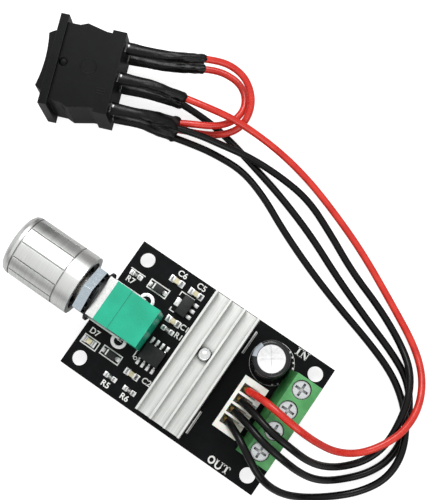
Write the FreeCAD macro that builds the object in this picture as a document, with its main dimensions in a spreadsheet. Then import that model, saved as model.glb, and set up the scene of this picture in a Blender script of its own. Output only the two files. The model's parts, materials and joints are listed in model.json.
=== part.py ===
import FreeCAD, Part
import math
import os
import Sketcher
from types import SimpleNamespace

# PWM speed controller for a small DC motor: a printed board with its heatsink, screw terminals,
# speed knob and plug, and a three-position reversing rocker switch on four leads.
# Origin: centre of the four mounting holes, on the underside of the board.
# +X runs along the board towards the screw terminals, +Z is the component side.

vector = FreeCAD.Vector
document = FreeCAD.newDocument("speed_controller")

# ---------------------------------------------------------------- driving dimensions, mm and degrees
values = {
    "board_length": 50.0, "board_width": 32.0, "board_thickness": 1.6, "hole_spacing_x": 44.0,
    "hole_spacing_y": 26.0, "hole_radius": 1.7, "table_level": -2.0, "pin_end": -1.9,
    "solder_height": 1.1, "solder_neck": 0.15, "solder_foot": 0.6, "hole_gap": 0.1, "seat_gap": 0.05,
    "sink_x": 0.5, "sink_y": 0.2, "sink_length": 30.0, "sink_width": 11.0, "sink_height": 4.8,
    "sink_base": 2.2, "rib_thickness": 0.5, "rib_count": 4, "screw_y": 2.6, "screw_radius": 1.5,
    "screw_head_radius": 2.75, "screw_proud": 1.0, "screw_point": 0.3, "drive_length": 2.8,
    "drive_width": 0.7, "drive_depth": 0.9, "transistor_height": 4.5, "transistor_width": 10.0,
    "transistor_body": 9.0, "tab_thickness": 1.3, "tab_end": 2.8, "tab_inner": 3.4, "tab_hole": 1.8,
    "lead_pitch": 2.54, "lead_reach": 2.6, "lead_width": 0.8, "lead_thickness": 0.5, "lead_level": 1.9,
    "rectifier_y": 10.8, "rectifier_length": 7.0, "rectifier_width": 6.0, "rectifier_height": 2.3,
    "rectifier_foot_inset": 0.4, "rectifier_foot_length": 2.0, "rectifier_foot_width": 3.0,
    "foot_thickness": 0.1, "can_x": 12.6, "can_y": 9.4, "can_radius": 3.85, "sleeve_wall": 0.15,
    "can_height": 12.0, "can_rim": 0.9, "vent_length": 4.6, "vent_width": 0.3, "vent_depth": 0.2,
    "bung_height": 1.8, "can_lead_pitch": 3.5, "can_lead_radius": 0.3, "header_x": 12.9,
    "header_y": -2.3, "header_length": 12.4, "header_depth": 5.75, "header_height": 7.0,
    "header_wall": 0.7, "header_floor": 1.2, "plug_gap": 0.1, "gate_width": 1.8, "gate_depth": 3.2,
    "plug_collar": 2.4, "way_pitch": 2.5, "way_x": 12.4, "way_width": 2.0, "way_mouth": 1.4,
    "way_floor": 0.5, "way_rear": 1.6, "way_front": 1.3, "post_size": 0.64, "post_height": 5.6,
    "contact_size": 1.5, "contact_hole": 0.8, "contact_top": 6.6, "barrel_length": 1.2,
    "contact_lift": 0.6, "contact_roof": 0.4, "barrel_fit": 0.15, "neck_share": 0.6, "block_x": 21.2,
    "block_y": 0.2, "pole_pitch": 5.08, "block_rear": 4.3, "block_front": 3.4, "block_height": 10.0,
    "block_slope_x": 1.8, "block_slope_z": 3.5, "well_radius": 2.05, "screw_top_gap": 0.8,
    "clamp_screw_head": 1.9, "clamp_head_height": 1.3, "clamp_screw_radius": 1.25,
    "clamp_screw_length": 3.8, "cross_slot": 0.5, "cross_depth": 0.6, "cross_length": 2.9,
    "cage_x": 4.0, "cage_y": 3.6, "cage_height": 5.0, "cage_wall": 0.5, "cage_gap": 0.15,
    "cage_base": 0.6, "cage_travel": 2.0, "entry_width": 3.2, "entry_low": 1.0, "entry_height": 2.6,
    "bar_height": 3.4, "bar_thickness": 0.5, "bar_width": 2.0, "pin_inset": 3.1, "pin_radius": 0.5,
    "bar_post": 0.8, "pin_lap": 0.4, "pot_inset": 0.3, "pot_y": 0.1, "axis_height": 6.5,
    "plate_thickness": 0.8, "pot_width": 9.5, "pot_height": 11.0, "pot_standoff": 0.4,
    "lip_length": 1.1, "lip_thickness": 0.5, "front_length": 4.7, "seam_gap": 0.1, "rear_length": 7.15,
    "chamber_radius": 4.1, "chamber_end": 1.0, "arm_thickness": 0.4, "arm_low": 2.4, "arm_high": 6.4,
    "leg_from_face": 7.7, "leg_width": 1.2, "leg_end": -1.2, "bushing_radius": 3.5, "bushing_length": 7.0,
    "hub_radius": 3.0, "neck_radius": 2.3, "shaft_fit": 0.05, "shaft_radius": 3.0, "shaft_proud": 8.0,
    "wiper_radius": 3.6, "wiper_thickness": 1.2, "wiper_inset": 1.4, "track_thickness": 0.8,
    "track_gap": 0.15, "pot_pin_pitch": 2.5, "pot_pin_radius": 0.4, "pot_row_one": 2.6,
    "pot_row_two": 3.4, "washer_radius": 5.9, "washer_thickness": 0.5, "lock_radius": 5.0,
    "lock_thickness": 0.8, "lock_teeth": 14, "tooth_length": 0.7, "tooth_width": 0.9, "nut_flats": 10.0,
    "nut_thickness": 2.2, "nut_to_knob": 0.9, "knob_radius": 7.0, "knob_length": 17.0, "knob_wall": 1.2,
    "knob_end": 1.6, "knob_chamfer": 0.5, "ring_front": 1.8, "ring_rear": 4.0, "ring_width": 0.3,
    "ring_depth": 0.25, "flute_count": 12, "flute_width": 0.3, "core_fit": 0.05, "core_recess": 0.5,
    "core_mouth": 4.6, "core_mouth_depth": 3.4, "timer_x": -9.1, "timer_y": -3.6, "timer_length": 4.9,
    "timer_width": 3.9, "timer_height": 1.5, "timer_pitch": 1.27, "timer_reach": 1.05,
    "small_standoff": 0.1, "timer_lead": 0.4, "timer_lead_thickness": 0.2, "timer_shoulder": 0.6,
    "timer_foot": 0.8, "regulator_x": -9.3, "regulator_y": 9.1, "regulator_length": 4.5,
    "regulator_width": 2.5, "regulator_height": 1.5, "regulator_pitch": 1.5,
    "regulator_foot_length": 1.1, "regulator_foot_width": 0.45, "regulator_tab_length": 1.0,
    "regulator_tab_width": 1.8, "diode_foot_length": 0.9, "diode_foot_width": 0.6, "diode_length": 2.7,
    "diode_width": 1.6, "diode_height": 1.15, "chip_length": 2.0, "chip_width": 1.25,
    "chip_height": 0.9, "resistor_length": 1.6, "resistor_width": 0.85, "resistor_height": 0.5,
    "switch_x": -63.4, "switch_y": 36.4, "switch_angle": 20.9, "flange_length": 20.8,
    "flange_width": 15.0, "flange_depth": 1.9, "body_depth": 13.1, "body_half": 9.0, "body_width": 13.0,
    "body_wall": 0.8, "wing_out": 0.7, "shoulder_out": 0.45, "wing_start": 2.7, "wing_peak": 4.3,
    "wing_end": 8.8, "waist_in": 0.3, "shoulder_start": 10.0, "pivot_depth": 3.0, "pivot_radius": 1.0,
    "pivot_fit": 0.05, "rocker_radius": 7.9, "rocker_proud": 2.2, "rocker_dish": 0.65,
    "rocker_half": 6.1, "rocker_width": 10.6, "rocker_floor": 1.2, "stem_half": 3.0,
    "plunger_row": 3.0, "plunger_radius": 0.9, "plunger_end": 8.2, "plunger_well": 1.0,
    "stem_wall": 0.5, "base_front": 10.3, "lug_pitch": 7.0, "lug_row": 3.5, "lug_width": 2.0,
    "lug_thickness": 0.6, "lug_end": 20.4, "lug_inner": 9.85, "lug_eye": 0.5, "lug_eye_depth": 15.9,
    "lug_pad_thickness": 0.4, "lug_pad_half": 0.8, "lug_pad_reach": 1.1, "lug_pad_shift": 1.4,
    "bridge_level": 8.6, "bridge_thickness": 0.5, "bridge_half": 5.9, "bridge_width": 2.2,
    "bead_radius": 0.25, "fulcrum_gap": 0.05, "wire_diameter": 1.6, "shrink_start": 15.3,
    "shrink_past_lug": 0.8, "shrink_wall": 0.35, "shrink_root_wide": 1.45, "shrink_root_high": 0.85,
    "shrink_tip_wide": 1.3, "shrink_tip_high": 0.95, "shrink_bend_wide": 0.9,
}

sheet = document.addObject("Spreadsheet::Sheet", "size")
for row, (alias, number) in enumerate(values.items(), start=1):
    sheet.set(f"A{row}", alias)
    sheet.set(f"B{row}", str(number))
    sheet.setAlias(f"B{row}", alias)
document.recompute()


class Size:
    """A size that knows its number and the spreadsheet expression that gives it."""

    def __init__(self, number, text=None):
        self.number = float(number)
        self.text = text or repr(float(number))

    def joined(self, sign, other, number):
        return Size(number, f"({self.text} {sign} {other.text})")

    def __add__(self, other):
        other = sized(other)
        return self.joined("+", other, self.number + other.number)

    def __sub__(self, other):
        other = sized(other)
        return self.joined("-", other, self.number - other.number)

    def __mul__(self, other):
        other = sized(other)
        return self.joined("*", other, self.number * other.number)

    def __truediv__(self, other):
        other = sized(other)
        return self.joined("/", other, self.number / other.number)

    def __neg__(self):
        return Size(0) - self

    def __radd__(self, other):
        return sized(other) + self

    def __rsub__(self, other):
        return sized(other) - self

    def __rmul__(self, other):
        return sized(other) * self

    def __float__(self):
        return self.number


def sized(value):
    return value if isinstance(value, Size) else Size(value)


s = SimpleNamespace(**{alias: Size(sheet.get(alias), f"size.{alias}") for alias in values})
board_top = s.board_thickness
nodes = {}
# how far a cutting tool runs past the face that it cuts
over = 1


# ---------------------------------------------------------------- building blocks
def bind(item, **sizes):
    for name, value in sizes.items():
        item.setExpression(name, sized(value).text)
    return item


def at(item, x, y, z, rotation=None):
    if rotation is not None:
        item.Placement = FreeCAD.Placement(vector(), rotation)
    for axis, value in zip("xyz", (x, y, z)):
        item.setExpression(f"Placement.Base.{axis}", sized(value).text)
    return item


def turned(axis, degrees):
    return FreeCAD.Rotation(vector(*axis), degrees)


along_x = turned((0, 1, 0), 90)
along_y = turned((1, 0, 0), -90)


def box(low, high):
    """A block from its lowest corner to its highest corner."""
    item = document.addObject("Part::Box", "block")
    low = [sized(value) for value in low]
    high = [sized(value) for value in high]
    bind(item, Length=high[0] - low[0], Width=high[1] - low[1], Height=high[2] - low[2])
    return at(item, *low)


def centred_box(x, y, low, size_x, size_y, height):
    """A block centred on x, y that stands on the level low."""
    x, y, low = sized(x), sized(y), sized(low)
    size_x, size_y = sized(size_x), sized(size_y)
    return box((x - size_x / 2, y - size_y / 2, low), (x + size_x / 2, y + size_y / 2, low + height))


def rod(x, y, z, radius, length, rotation=None):
    """A round bar from x, y, z, upright unless it is turned."""
    item = document.addObject("Part::Cylinder", "rod")
    bind(item, Radius=radius, Height=length)
    return at(item, x, y, z, rotation)


def cut(base, *tools):
    item = document.addObject("Part::Cut", "cut")
    item.Base = base
    item.Tool = tools[0] if len(tools) == 1 else fuse(*tools)
    return item


def fuse(*pieces):
    item = document.addObject("Part::MultiFuse", "joined")
    item.Shapes = list(pieces)
    return item


def group(*pieces):
    """Separate identical pieces that share one node."""
    item = document.addObject("Part::Compound", "group")
    item.Links = list(pieces)
    return item


def node(name, item):
    item.Label = name
    nodes[name] = item
    return item


def feature(name, shape):
    """A piece whose shape comes from Part's own functions."""
    item = document.addObject("Part::Feature", name)
    item.Shape = shape
    return node(name, item)


def new_body(name):
    body = document.addObject("PartDesign::Body", name)
    return node(name, body)


def new_sketch(body, name, plane):
    sketch = body.newObject("Sketcher::SketchObject", name)
    origin_plane = next(item for item in body.Origin.OriginFeatures if item.Role == plane)
    sketch.AttachmentSupport = [(origin_plane, "")]
    sketch.MapMode = "FlatFace"
    return sketch


def pin_point(sketch, geometry, position, x, y):
    """Hold a point of the sketch at x, y from its origin."""
    for kind, value in (("DistanceX", sized(x)), ("DistanceY", sized(y))):
        constraint = Sketcher.Constraint(kind, -1, 1, geometry, position, value.number)
        index = sketch.addConstraint(constraint)
        sketch.setExpression(f"Constraints[{index}]", value.text)


def draw_outline(sketch, points):
    """A closed outline of straight lines, each corner held by its two sizes."""
    first = sketch.GeometryCount
    corners = [vector(float(x), float(y), 0) for x, y in points]
    count = len(points)
    for index in range(count):
        sketch.addGeometry(Part.LineSegment(corners[index], corners[(index + 1) % count]), False)
    for index in range(count):
        ends = (first + index, 2, first + (index + 1) % count, 1)
        sketch.addConstraint(Sketcher.Constraint("Coincident", *ends))
    for index, (x, y) in enumerate(points):
        pin_point(sketch, first + index, 1, x, y)


def draw_rectangle(sketch, low_x, low_y, high_x, high_y):
    draw_outline(sketch, [(low_x, low_y), (high_x, low_y), (high_x, high_y), (low_x, high_y)])


def draw_circle(sketch, x, y, radius):
    radius = sized(radius)
    circle = Part.Circle(vector(float(x), float(y), 0), vector(0, 0, 1), radius.number)
    index = sketch.addGeometry(circle, False)
    pin_point(sketch, index, 3, x, y)
    constraint = sketch.addConstraint(Sketcher.Constraint("Radius", index, radius.number))
    sketch.setExpression(f"Constraints[{constraint}]", radius.text)


def pad(body, sketch, length, midplane=False, reverse=False):
    item = body.newObject("PartDesign::Pad", "pad")
    item.Profile = sketch
    item.Midplane = midplane
    item.Reversed = reverse
    return bind(item, Length=length)


def pocket(body, sketch, length=None, midplane=False, reverse=False):
    item = body.newObject("PartDesign::Pocket", "pocket")
    item.Profile = sketch
    item.Midplane = midplane
    item.Reversed = reverse
    if length is None:
        item.Type = "ThroughAll"
    else:
        bind(item, Length=length)
    return item


# ---------------------------------------------------------------- printed board
half_x = s.hole_spacing_x / 2
half_y = s.hole_spacing_y / 2
mounting_holes = [(x, y) for x in (-half_x, half_x) for y in (-half_y, half_y)]
pole_x = s.block_x
poles = [s.block_y + s.pole_pitch * step for step in (1.5, 0.5, -0.5, -1.5)]
ways = [s.header_y + s.way_pitch * step for step in (1.5, 0.5, -0.5, -1.5)]
# the speed control keeps its place at the board's end, so that its knob hangs clear of the board
pot_face = s.pot_inset - s.board_length / 2
pot_back = pot_face + s.plate_thickness
pot_rows = [pot_back + s.pot_row_one, pot_back + s.front_length + s.pot_row_two]
pot_pins = [(x, s.pot_y + s.pot_pin_pitch * step) for x in pot_rows for step in (-1, 0, 1)]
can_leads = [(s.can_x, s.can_y + s.can_lead_pitch * side / 2) for side in (-1, 1)]
transistor_end = s.screw_y - s.tab_inner - s.transistor_body
transistor_lead_y = transistor_end - s.lead_reach
transistor_leads = [(s.sink_x + s.lead_pitch * step, transistor_lead_y) for step in (-1, 0, 1)]
leg_y = s.pot_width / 2 + s.arm_thickness / 2
pot_legs = [(pot_face + s.leg_from_face, s.pot_y + leg_y * side) for side in (-1, 1)]
terminal_pins = [(pole_x - s.pin_inset, y) for y in poles]
round_pins = [(x, y, s.pin_radius) for x, y in terminal_pins]
# a square post fills a round hole as wide as its diagonal
half_diagonal = 0.71
lead_corner = 0.6
round_pins += [(s.way_x, y, s.post_size * half_diagonal) for y in ways]
round_pins += [(x, y, s.pot_pin_radius) for x, y in pot_pins]
round_pins += [(x, y, s.can_lead_radius) for x, y in can_leads]
round_pins += [(x, y, s.lead_width * lead_corner) for x, y in transistor_leads]


def make_circuit_board():
    body = new_body("circuit_board")
    outline = new_sketch(body, "board_outline", "XY_Plane")
    half_length = s.board_length / 2
    half_width = s.board_width / 2
    draw_rectangle(outline, -half_length, -half_width, half_length, half_width)
    pad(body, outline, s.board_thickness)
    holes = new_sketch(body, "board_holes", "XY_Plane")
    for x, y in mounting_holes:
        draw_circle(holes, x, y, s.hole_radius)
    draw_circle(holes, s.sink_x, s.screw_y, s.screw_radius + s.hole_gap)
    for x, y, radius in round_pins:
        draw_circle(holes, x, y, radius + s.hole_gap)
    for x, y in pot_legs:
        half_slot = s.leg_width / 2 + s.hole_gap
        half_leg = s.arm_thickness / 2 + s.hole_gap
        draw_rectangle(holes, x - half_slot, y - half_leg, x + half_slot, y + half_leg)
    pocket(body, holes, midplane=True)


def make_solder_joints():
    joints = []
    for x, y, radius in round_pins:
        cone = document.addObject("Part::Cone", "fillet")
        bind(cone, Radius1=radius + s.solder_neck, Radius2=radius + s.solder_foot, Height=s.solder_height)
        at(cone, x, y, -s.solder_height)
        joints.append(cut(cone, rod(x, y, -s.solder_height - over, radius, s.solder_height + 2 * over)))
    node("solder_joints", group(*joints))


# ---------------------------------------------------------------- heatsink and power devices
sink_bottom = board_top + s.transistor_height
sink_floor = sink_bottom + s.sink_base


def make_heatsink():
    body = new_body("heatsink")
    profile = new_sketch(body, "sink_profile", "XZ_Plane")
    left = s.sink_x - s.sink_width / 2
    right = s.sink_x + s.sink_width / 2
    top = sink_bottom + s.sink_height
    pitch = (s.sink_width - s.rib_thickness) / (s.rib_count - 1)
    points = [(left, sink_bottom), (right, sink_bottom)]
    for index in reversed(range(int(float(s.rib_count)))):
        rib = left + pitch * index
        corners = [(rib + s.rib_thickness, sink_floor), (rib + s.rib_thickness, top), (rib, top),
                   (rib, sink_floor)]
        points += corners[1:] if index == int(float(s.rib_count)) - 1 else corners
    points.pop()
    draw_outline(profile, points)
    pad(body, profile, s.sink_length, midplane=True)
    # the bar is centred on the origin plane, so the body carries its place along Y
    hole = new_sketch(body, "sink_hole", "XY_Plane")
    draw_circle(hole, s.sink_x, s.screw_y - s.sink_y, s.screw_radius + s.seat_gap)
    pocket(body, hole, midplane=True)
    body.setExpression("Placement.Base.y", s.sink_y.text)


def make_heatsink_screw():
    top = sink_floor + s.screw_proud
    head = rod(s.sink_x, s.screw_y, s.table_level, s.screw_head_radius, -s.table_level)
    shank = rod(s.sink_x, s.screw_y, s.table_level, s.screw_radius, top - s.table_level)
    tip = document.addObject("Part::Cone", "tip")
    bind(tip, Radius1=s.screw_radius, Radius2=s.screw_radius - s.screw_point, Height=s.screw_point)
    at(tip, s.sink_x, s.screw_y, top)
    sizes = ((s.drive_length, s.drive_width), (s.drive_width, s.drive_length))
    arms = [centred_box(s.sink_x, s.screw_y, s.table_level - over, length, width, s.drive_depth + over)
            for length, width in sizes]
    node("heatsink_screw", cut(fuse(head, shank, tip), *arms))


def make_power_transistor():
    underside = sink_bottom - s.transistor_height
    half = s.transistor_width / 2
    body_low = (s.sink_x - half, transistor_end, underside)
    body_high = (s.sink_x + half, transistor_end + s.transistor_body, sink_bottom)
    node("power_transistor_body", box(body_low, body_high))
    tab_low = (s.sink_x - half, transistor_end + s.transistor_body, sink_bottom - s.tab_thickness)
    tab_high = (s.sink_x + half, s.screw_y + s.tab_end, sink_bottom)
    tab_hole = rod(s.sink_x, s.screw_y, board_top, s.tab_hole, s.transistor_height + over)
    pieces = [cut(box(tab_low, tab_high), tab_hole)]
    level = board_top + s.lead_level
    half_lead = s.lead_width / 2
    thick = s.lead_thickness
    for x, y in transistor_leads:
        flat = box((x - half_lead, y - thick / 2, level), (x + half_lead, transistor_end, level + thick))
        drop = box((x - half_lead, y - thick / 2, s.pin_end), (x + half_lead, y + thick / 2, level + thick))
        pieces.append(fuse(flat, drop))
    node("power_transistor_leadframe", group(*pieces))


def make_power_rectifier():
    low = board_top + s.small_standoff
    core = centred_box(s.sink_x, s.rectifier_y, low, s.rectifier_length, s.rectifier_width,
                       s.rectifier_height)
    foot_x = s.rectifier_length / 2 - s.rectifier_foot_inset
    feet = [centred_box(s.sink_x + foot_x * side, s.rectifier_y, board_top, s.rectifier_foot_length,
                        s.rectifier_foot_width, s.foot_thickness) for side in (-1, 1)]
    node("power_rectifier", fuse(core, *feet))


# ---------------------------------------------------------------- capacitor
def make_capacitor():
    base = board_top
    outer = s.can_radius + s.sleeve_wall
    top = base + s.can_height
    can_length = s.can_height - s.bung_height - s.sleeve_wall
    can = rod(s.can_x, s.can_y, base + s.bung_height, s.can_radius, can_length)
    sizes = ((s.vent_length, s.vent_width), (s.vent_width, s.vent_length))
    vents = [centred_box(s.can_x, s.can_y, top - s.sleeve_wall - s.vent_depth, length, width, over)
             for length, width in sizes]
    node("capacitor_can", cut(can, *vents))
    jacket = rod(s.can_x, s.can_y, base, outer, s.can_height)
    inside = rod(s.can_x, s.can_y, base - over, s.can_radius, s.can_height + over - s.sleeve_wall)
    window = rod(s.can_x, s.can_y, base, s.can_radius - s.can_rim, s.can_height + over)
    node("capacitor_jacket", cut(jacket, inside, window))
    bung = rod(s.can_x, s.can_y, base, s.can_radius, s.bung_height)
    wells = [rod(x, y, base - over, s.can_lead_radius, s.bung_height + 2 * over) for x, y in can_leads]
    node("capacitor_bung", cut(bung, *wells))
    lead_length = base + s.bung_height - s.pin_end
    leads = [rod(x, y, s.pin_end, s.can_lead_radius, lead_length) for x, y in can_leads]
    node("capacitor_leads", group(*leads))


# ---------------------------------------------------------------- lead header and plug
header_top = board_top + s.header_height
header_low_x = s.header_x - s.header_depth / 2
header_high_x = s.header_x + s.header_depth / 2
header_low_y = s.header_y - s.header_length / 2
header_high_y = s.header_y + s.header_length / 2


def make_header():
    wall = s.header_wall
    shell = box((header_low_x, header_low_y, board_top), (header_high_x, header_high_y, header_top))
    cavity = box((header_low_x + wall, header_low_y + wall, board_top + s.header_floor),
                 (header_high_x - wall, header_high_y - wall, header_top + over))
    gates = []
    half_gate = s.gate_width / 2
    for y in (ways[0], ways[3]):
        gate_low = (header_high_x - wall - s.seat_gap, y - half_gate, header_top - s.gate_depth)
        gates.append(box(gate_low, (header_high_x + over, y + half_gate, header_top + over)))
    bores = [centred_box(s.way_x, y, board_top - over, s.post_size, s.post_size, s.header_floor + 2 * over)
             for y in ways]
    node("lead_header", cut(shell, cavity, *gates, *bores))
    post_length = board_top + s.post_height - s.pin_end
    posts = [centred_box(s.way_x, y, s.pin_end, s.post_size, s.post_size, post_length) for y in ways]
    node("lead_header_pins", group(*posts))


def make_plug():
    inset = s.header_wall + s.plug_gap
    floor = board_top + s.header_floor + s.plug_gap
    top = header_top + s.plug_collar
    stem = box((header_low_x + inset, header_low_y + inset, floor),
               (header_high_x - inset, header_high_y - inset, header_top + s.way_floor))
    collar = box((header_low_x, header_low_y, header_top), (header_high_x, header_high_y, top))
    tools = []
    half = s.contact_size / 2
    for y in ways:
        tools.append(box((s.way_x - half, y - half, floor - over), (s.way_x + half, y + half, top + over)))
        trough_low = (s.way_x - s.way_rear, y - s.way_width / 2, header_top + s.way_floor)
        trough_high = (header_high_x - s.way_front, y + s.way_width / 2, top + over)
        mouth_low = (header_high_x - s.way_front - s.plug_gap, y - s.way_mouth / 2, header_top + s.way_floor)
        mouth_high = (header_high_x + over, y + s.way_mouth / 2, top + over)
        tools += [box(trough_low, trough_high), box(mouth_low, mouth_high)]
    node("lead_plug", cut(fuse(stem, collar), *tools))


# ---------------------------------------------------------------- screw terminals
block_top = board_top + s.block_height
cage_low = board_top + s.cage_base
bar_level = board_top + s.bar_height
screw_head_top = block_top - s.screw_top_gap


def make_terminal_block(name, high_pole, low_pole):
    """Two-pole clamp housing, drawn about the middle of its two screws."""
    body = new_body(name)
    profile = new_sketch(body, "block_profile", "XZ_Plane")
    rear = -s.block_rear
    points = [(rear, board_top), (s.block_front, board_top), (s.block_front, block_top),
              (rear + s.block_slope_x, block_top), (rear, board_top + s.block_slope_z)]
    draw_outline(profile, points)
    pad(body, profile, s.pole_pitch * 2, midplane=True)
    offsets = (s.pole_pitch / 2, -s.pole_pitch / 2)
    wells = new_sketch(body, "screw_wells", "XY_Plane")
    for offset in offsets:
        draw_circle(wells, Size(0), offset, s.well_radius)
    pocket(body, wells, midplane=True)
    chambers = new_sketch(body, "cage_chambers", "XY_Plane")
    half_x = s.cage_x / 2 + s.cage_gap
    half_y = s.cage_y / 2 + s.cage_gap
    for offset in offsets:
        draw_rectangle(chambers, -half_x, offset - half_y, half_x, offset + half_y)
    chamber_top = board_top + s.cage_base + s.cage_height + s.cage_travel + s.cage_gap
    pocket(body, chambers, chamber_top * 2, midplane=True)
    slots = new_sketch(body, "pin_slots", "XY_Plane")
    half_bar = s.bar_width / 2 + s.seat_gap
    rear_edge = -(s.pin_inset + s.pin_radius + s.seat_gap)
    for offset in offsets:
        draw_rectangle(slots, rear_edge, offset - half_bar, -s.cage_x / 2, offset + half_bar)
    pocket(body, slots, (bar_level + s.bar_thickness + s.seat_gap) * 2, midplane=True)
    entries = new_sketch(body, "wire_entries", "YZ_Plane")
    half_entry = s.entry_width / 2
    entry_low = board_top + s.entry_low
    for offset in offsets:
        entry_top = entry_low + s.entry_height
        draw_rectangle(entries, offset - half_entry, entry_low, offset + half_entry, entry_top)
    pocket(body, entries, s.block_front + over, reverse=True)
    middle = (high_pole + low_pole) / 2
    body.setExpression("Placement.Base.x", s.block_x.text)
    body.setExpression("Placement.Base.y", middle.text)


def make_terminal_poles():
    pins = []
    cross_sizes = ((s.cross_length, s.cross_slot), (s.cross_slot, s.cross_length))
    for number, y in enumerate(poles, start=1):
        head_low = screw_head_top - s.clamp_head_height
        head = rod(pole_x, y, head_low, s.clamp_screw_head, s.clamp_head_height)
        shank_low = head_low - s.clamp_screw_length
        shank = rod(pole_x, y, shank_low, s.clamp_screw_radius, s.clamp_screw_length + s.hole_gap)
        arms = [centred_box(pole_x, y, screw_head_top - s.cross_depth, length, width, over)
                for length, width in cross_sizes]
        node(f"terminal_screw_{number}", cut(fuse(head, shank), *arms))
        cage = centred_box(pole_x, y, cage_low, s.cage_x, s.cage_y, s.cage_height)
        window = centred_box(pole_x, y, cage_low + s.cage_wall, s.cage_x + over,
                             s.cage_y - s.cage_wall * 2, s.cage_height - s.cage_wall * 2)
        thread_radius = s.clamp_screw_radius + s.seat_gap
        thread = rod(pole_x, y, cage_low + s.cage_height / 2, thread_radius, s.cage_height)
        node(f"terminal_cage_{number}", cut(cage, window, thread))
        half = s.bar_width / 2
        rear = pole_x - s.pin_inset - s.pin_radius
        bar_top = bar_level + s.bar_thickness
        bar = box((rear, y - half, bar_level), (pole_x + s.cage_x / 2, y + half, bar_top))
        post = box((rear, y - half, board_top), (rear + s.bar_post, y + half, bar_top))
        pin_length = board_top + s.pin_lap - s.pin_end
        pin = rod(pole_x - s.pin_inset, y, s.pin_end, s.pin_radius, pin_length)
        pins.append(fuse(bar, post, pin))
    node("terminal_pins", group(*pins))


# ---------------------------------------------------------------- speed potentiometer and knob
axis_z = board_top + s.axis_height
pot_low = board_top + s.pot_standoff
pot_high = board_top + s.pot_height
front_end = pot_back + s.front_length
rear_start = front_end + s.seam_gap
rear_end = rear_start + s.rear_length
bushing_end = pot_face - s.bushing_length
wiper_x = rear_start + s.wiper_inset


def pot_rod(start, end, radius):
    start, end = sized(start), sized(end)
    return rod(start, s.pot_y, axis_z, radius, end - start, along_x)


def make_potentiometer():
    half = s.pot_width / 2
    low_y = s.pot_y - half
    high_y = s.pot_y + half
    lip_end = pot_back + s.lip_length
    plate = box((pot_face, low_y, pot_low), (pot_back, high_y, pot_high))
    lip = box((pot_face, low_y, pot_high - s.lip_thickness), (lip_end, high_y, pot_high))
    arm_pieces = []
    for x, y in pot_legs:
        thick = s.arm_thickness / 2
        half_leg = s.leg_width / 2
        arm_pieces.append(box((pot_face, y - thick, board_top + s.arm_low),
                              (x + half_leg, y + thick, board_top + s.arm_high)))
        arm_pieces.append(box((x - half_leg, y - thick, s.leg_end),
                              (x + half_leg, y + thick, board_top + s.arm_high)))
    hub_hole = pot_rod(pot_face - over, pot_back + over, s.hub_radius)
    node("pot_bracket", cut(fuse(plate, lip, *arm_pieces), hub_hole))
    sleeve = fuse(pot_rod(bushing_end, pot_face, s.bushing_radius),
                  pot_rod(bushing_end, pot_back, s.hub_radius))
    bore = pot_rod(bushing_end - over, pot_back + over, s.neck_radius + s.shaft_fit)
    node("pot_bushing", cut(sleeve, bore))
    front = box((pot_back, low_y, pot_low), (front_end, high_y, pot_high))
    lip_seat = box((pot_back - over, low_y - over, pot_high - s.lip_thickness),
                   (lip_end, high_y + over, pot_high + over))
    front_bore = pot_rod(pot_back - over, front_end + over, s.neck_radius + s.seam_gap)
    node("pot_front_housing", cut(front, lip_seat, front_bore))
    rear = box((front_end, low_y + s.seam_gap, pot_low),
               (rear_end, high_y - s.seam_gap, pot_high - s.seam_gap))
    chamber = pot_rod(front_end - over, rear_end - s.chamber_end, s.chamber_radius)
    node("pot_rear_housing", cut(rear, chamber))
    track_start = wiper_x + s.wiper_thickness + s.track_gap
    track = pot_rod(track_start, track_start + s.track_thickness, s.chamber_radius - s.seat_gap)
    eye = pot_rod(track_start - over, track_start + s.track_thickness + over, s.neck_radius)
    node("pot_track", cut(track, eye))
    pins = [rod(x, y, s.pin_end, s.pot_pin_radius, pot_low - s.pin_end) for x, y in pot_pins]
    node("pot_pins", group(*pins))


def make_pot_rotor():
    tip = bushing_end - s.shaft_proud
    collar_end = bushing_end - s.shaft_fit * 2
    neck = pot_rod(tip, wiper_x + s.wiper_thickness, s.neck_radius)
    head = pot_rod(tip, collar_end, s.shaft_radius)
    node("pot_shaft", fuse(neck, head))
    disc = pot_rod(wiper_x, wiper_x + s.wiper_thickness, s.wiper_radius)
    bore = pot_rod(wiper_x - over, wiper_x + s.wiper_thickness + over, s.neck_radius)
    node("pot_wiper", cut(disc, bore))


def hexagon(flats):
    reach = flats / 2 / math.cos(math.radians(30))
    corners = []
    for step in range(6):
        turn = math.radians(60 * step + 30)
        corners.append((reach * math.cos(turn), reach * math.sin(turn)))
    return corners


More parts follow.
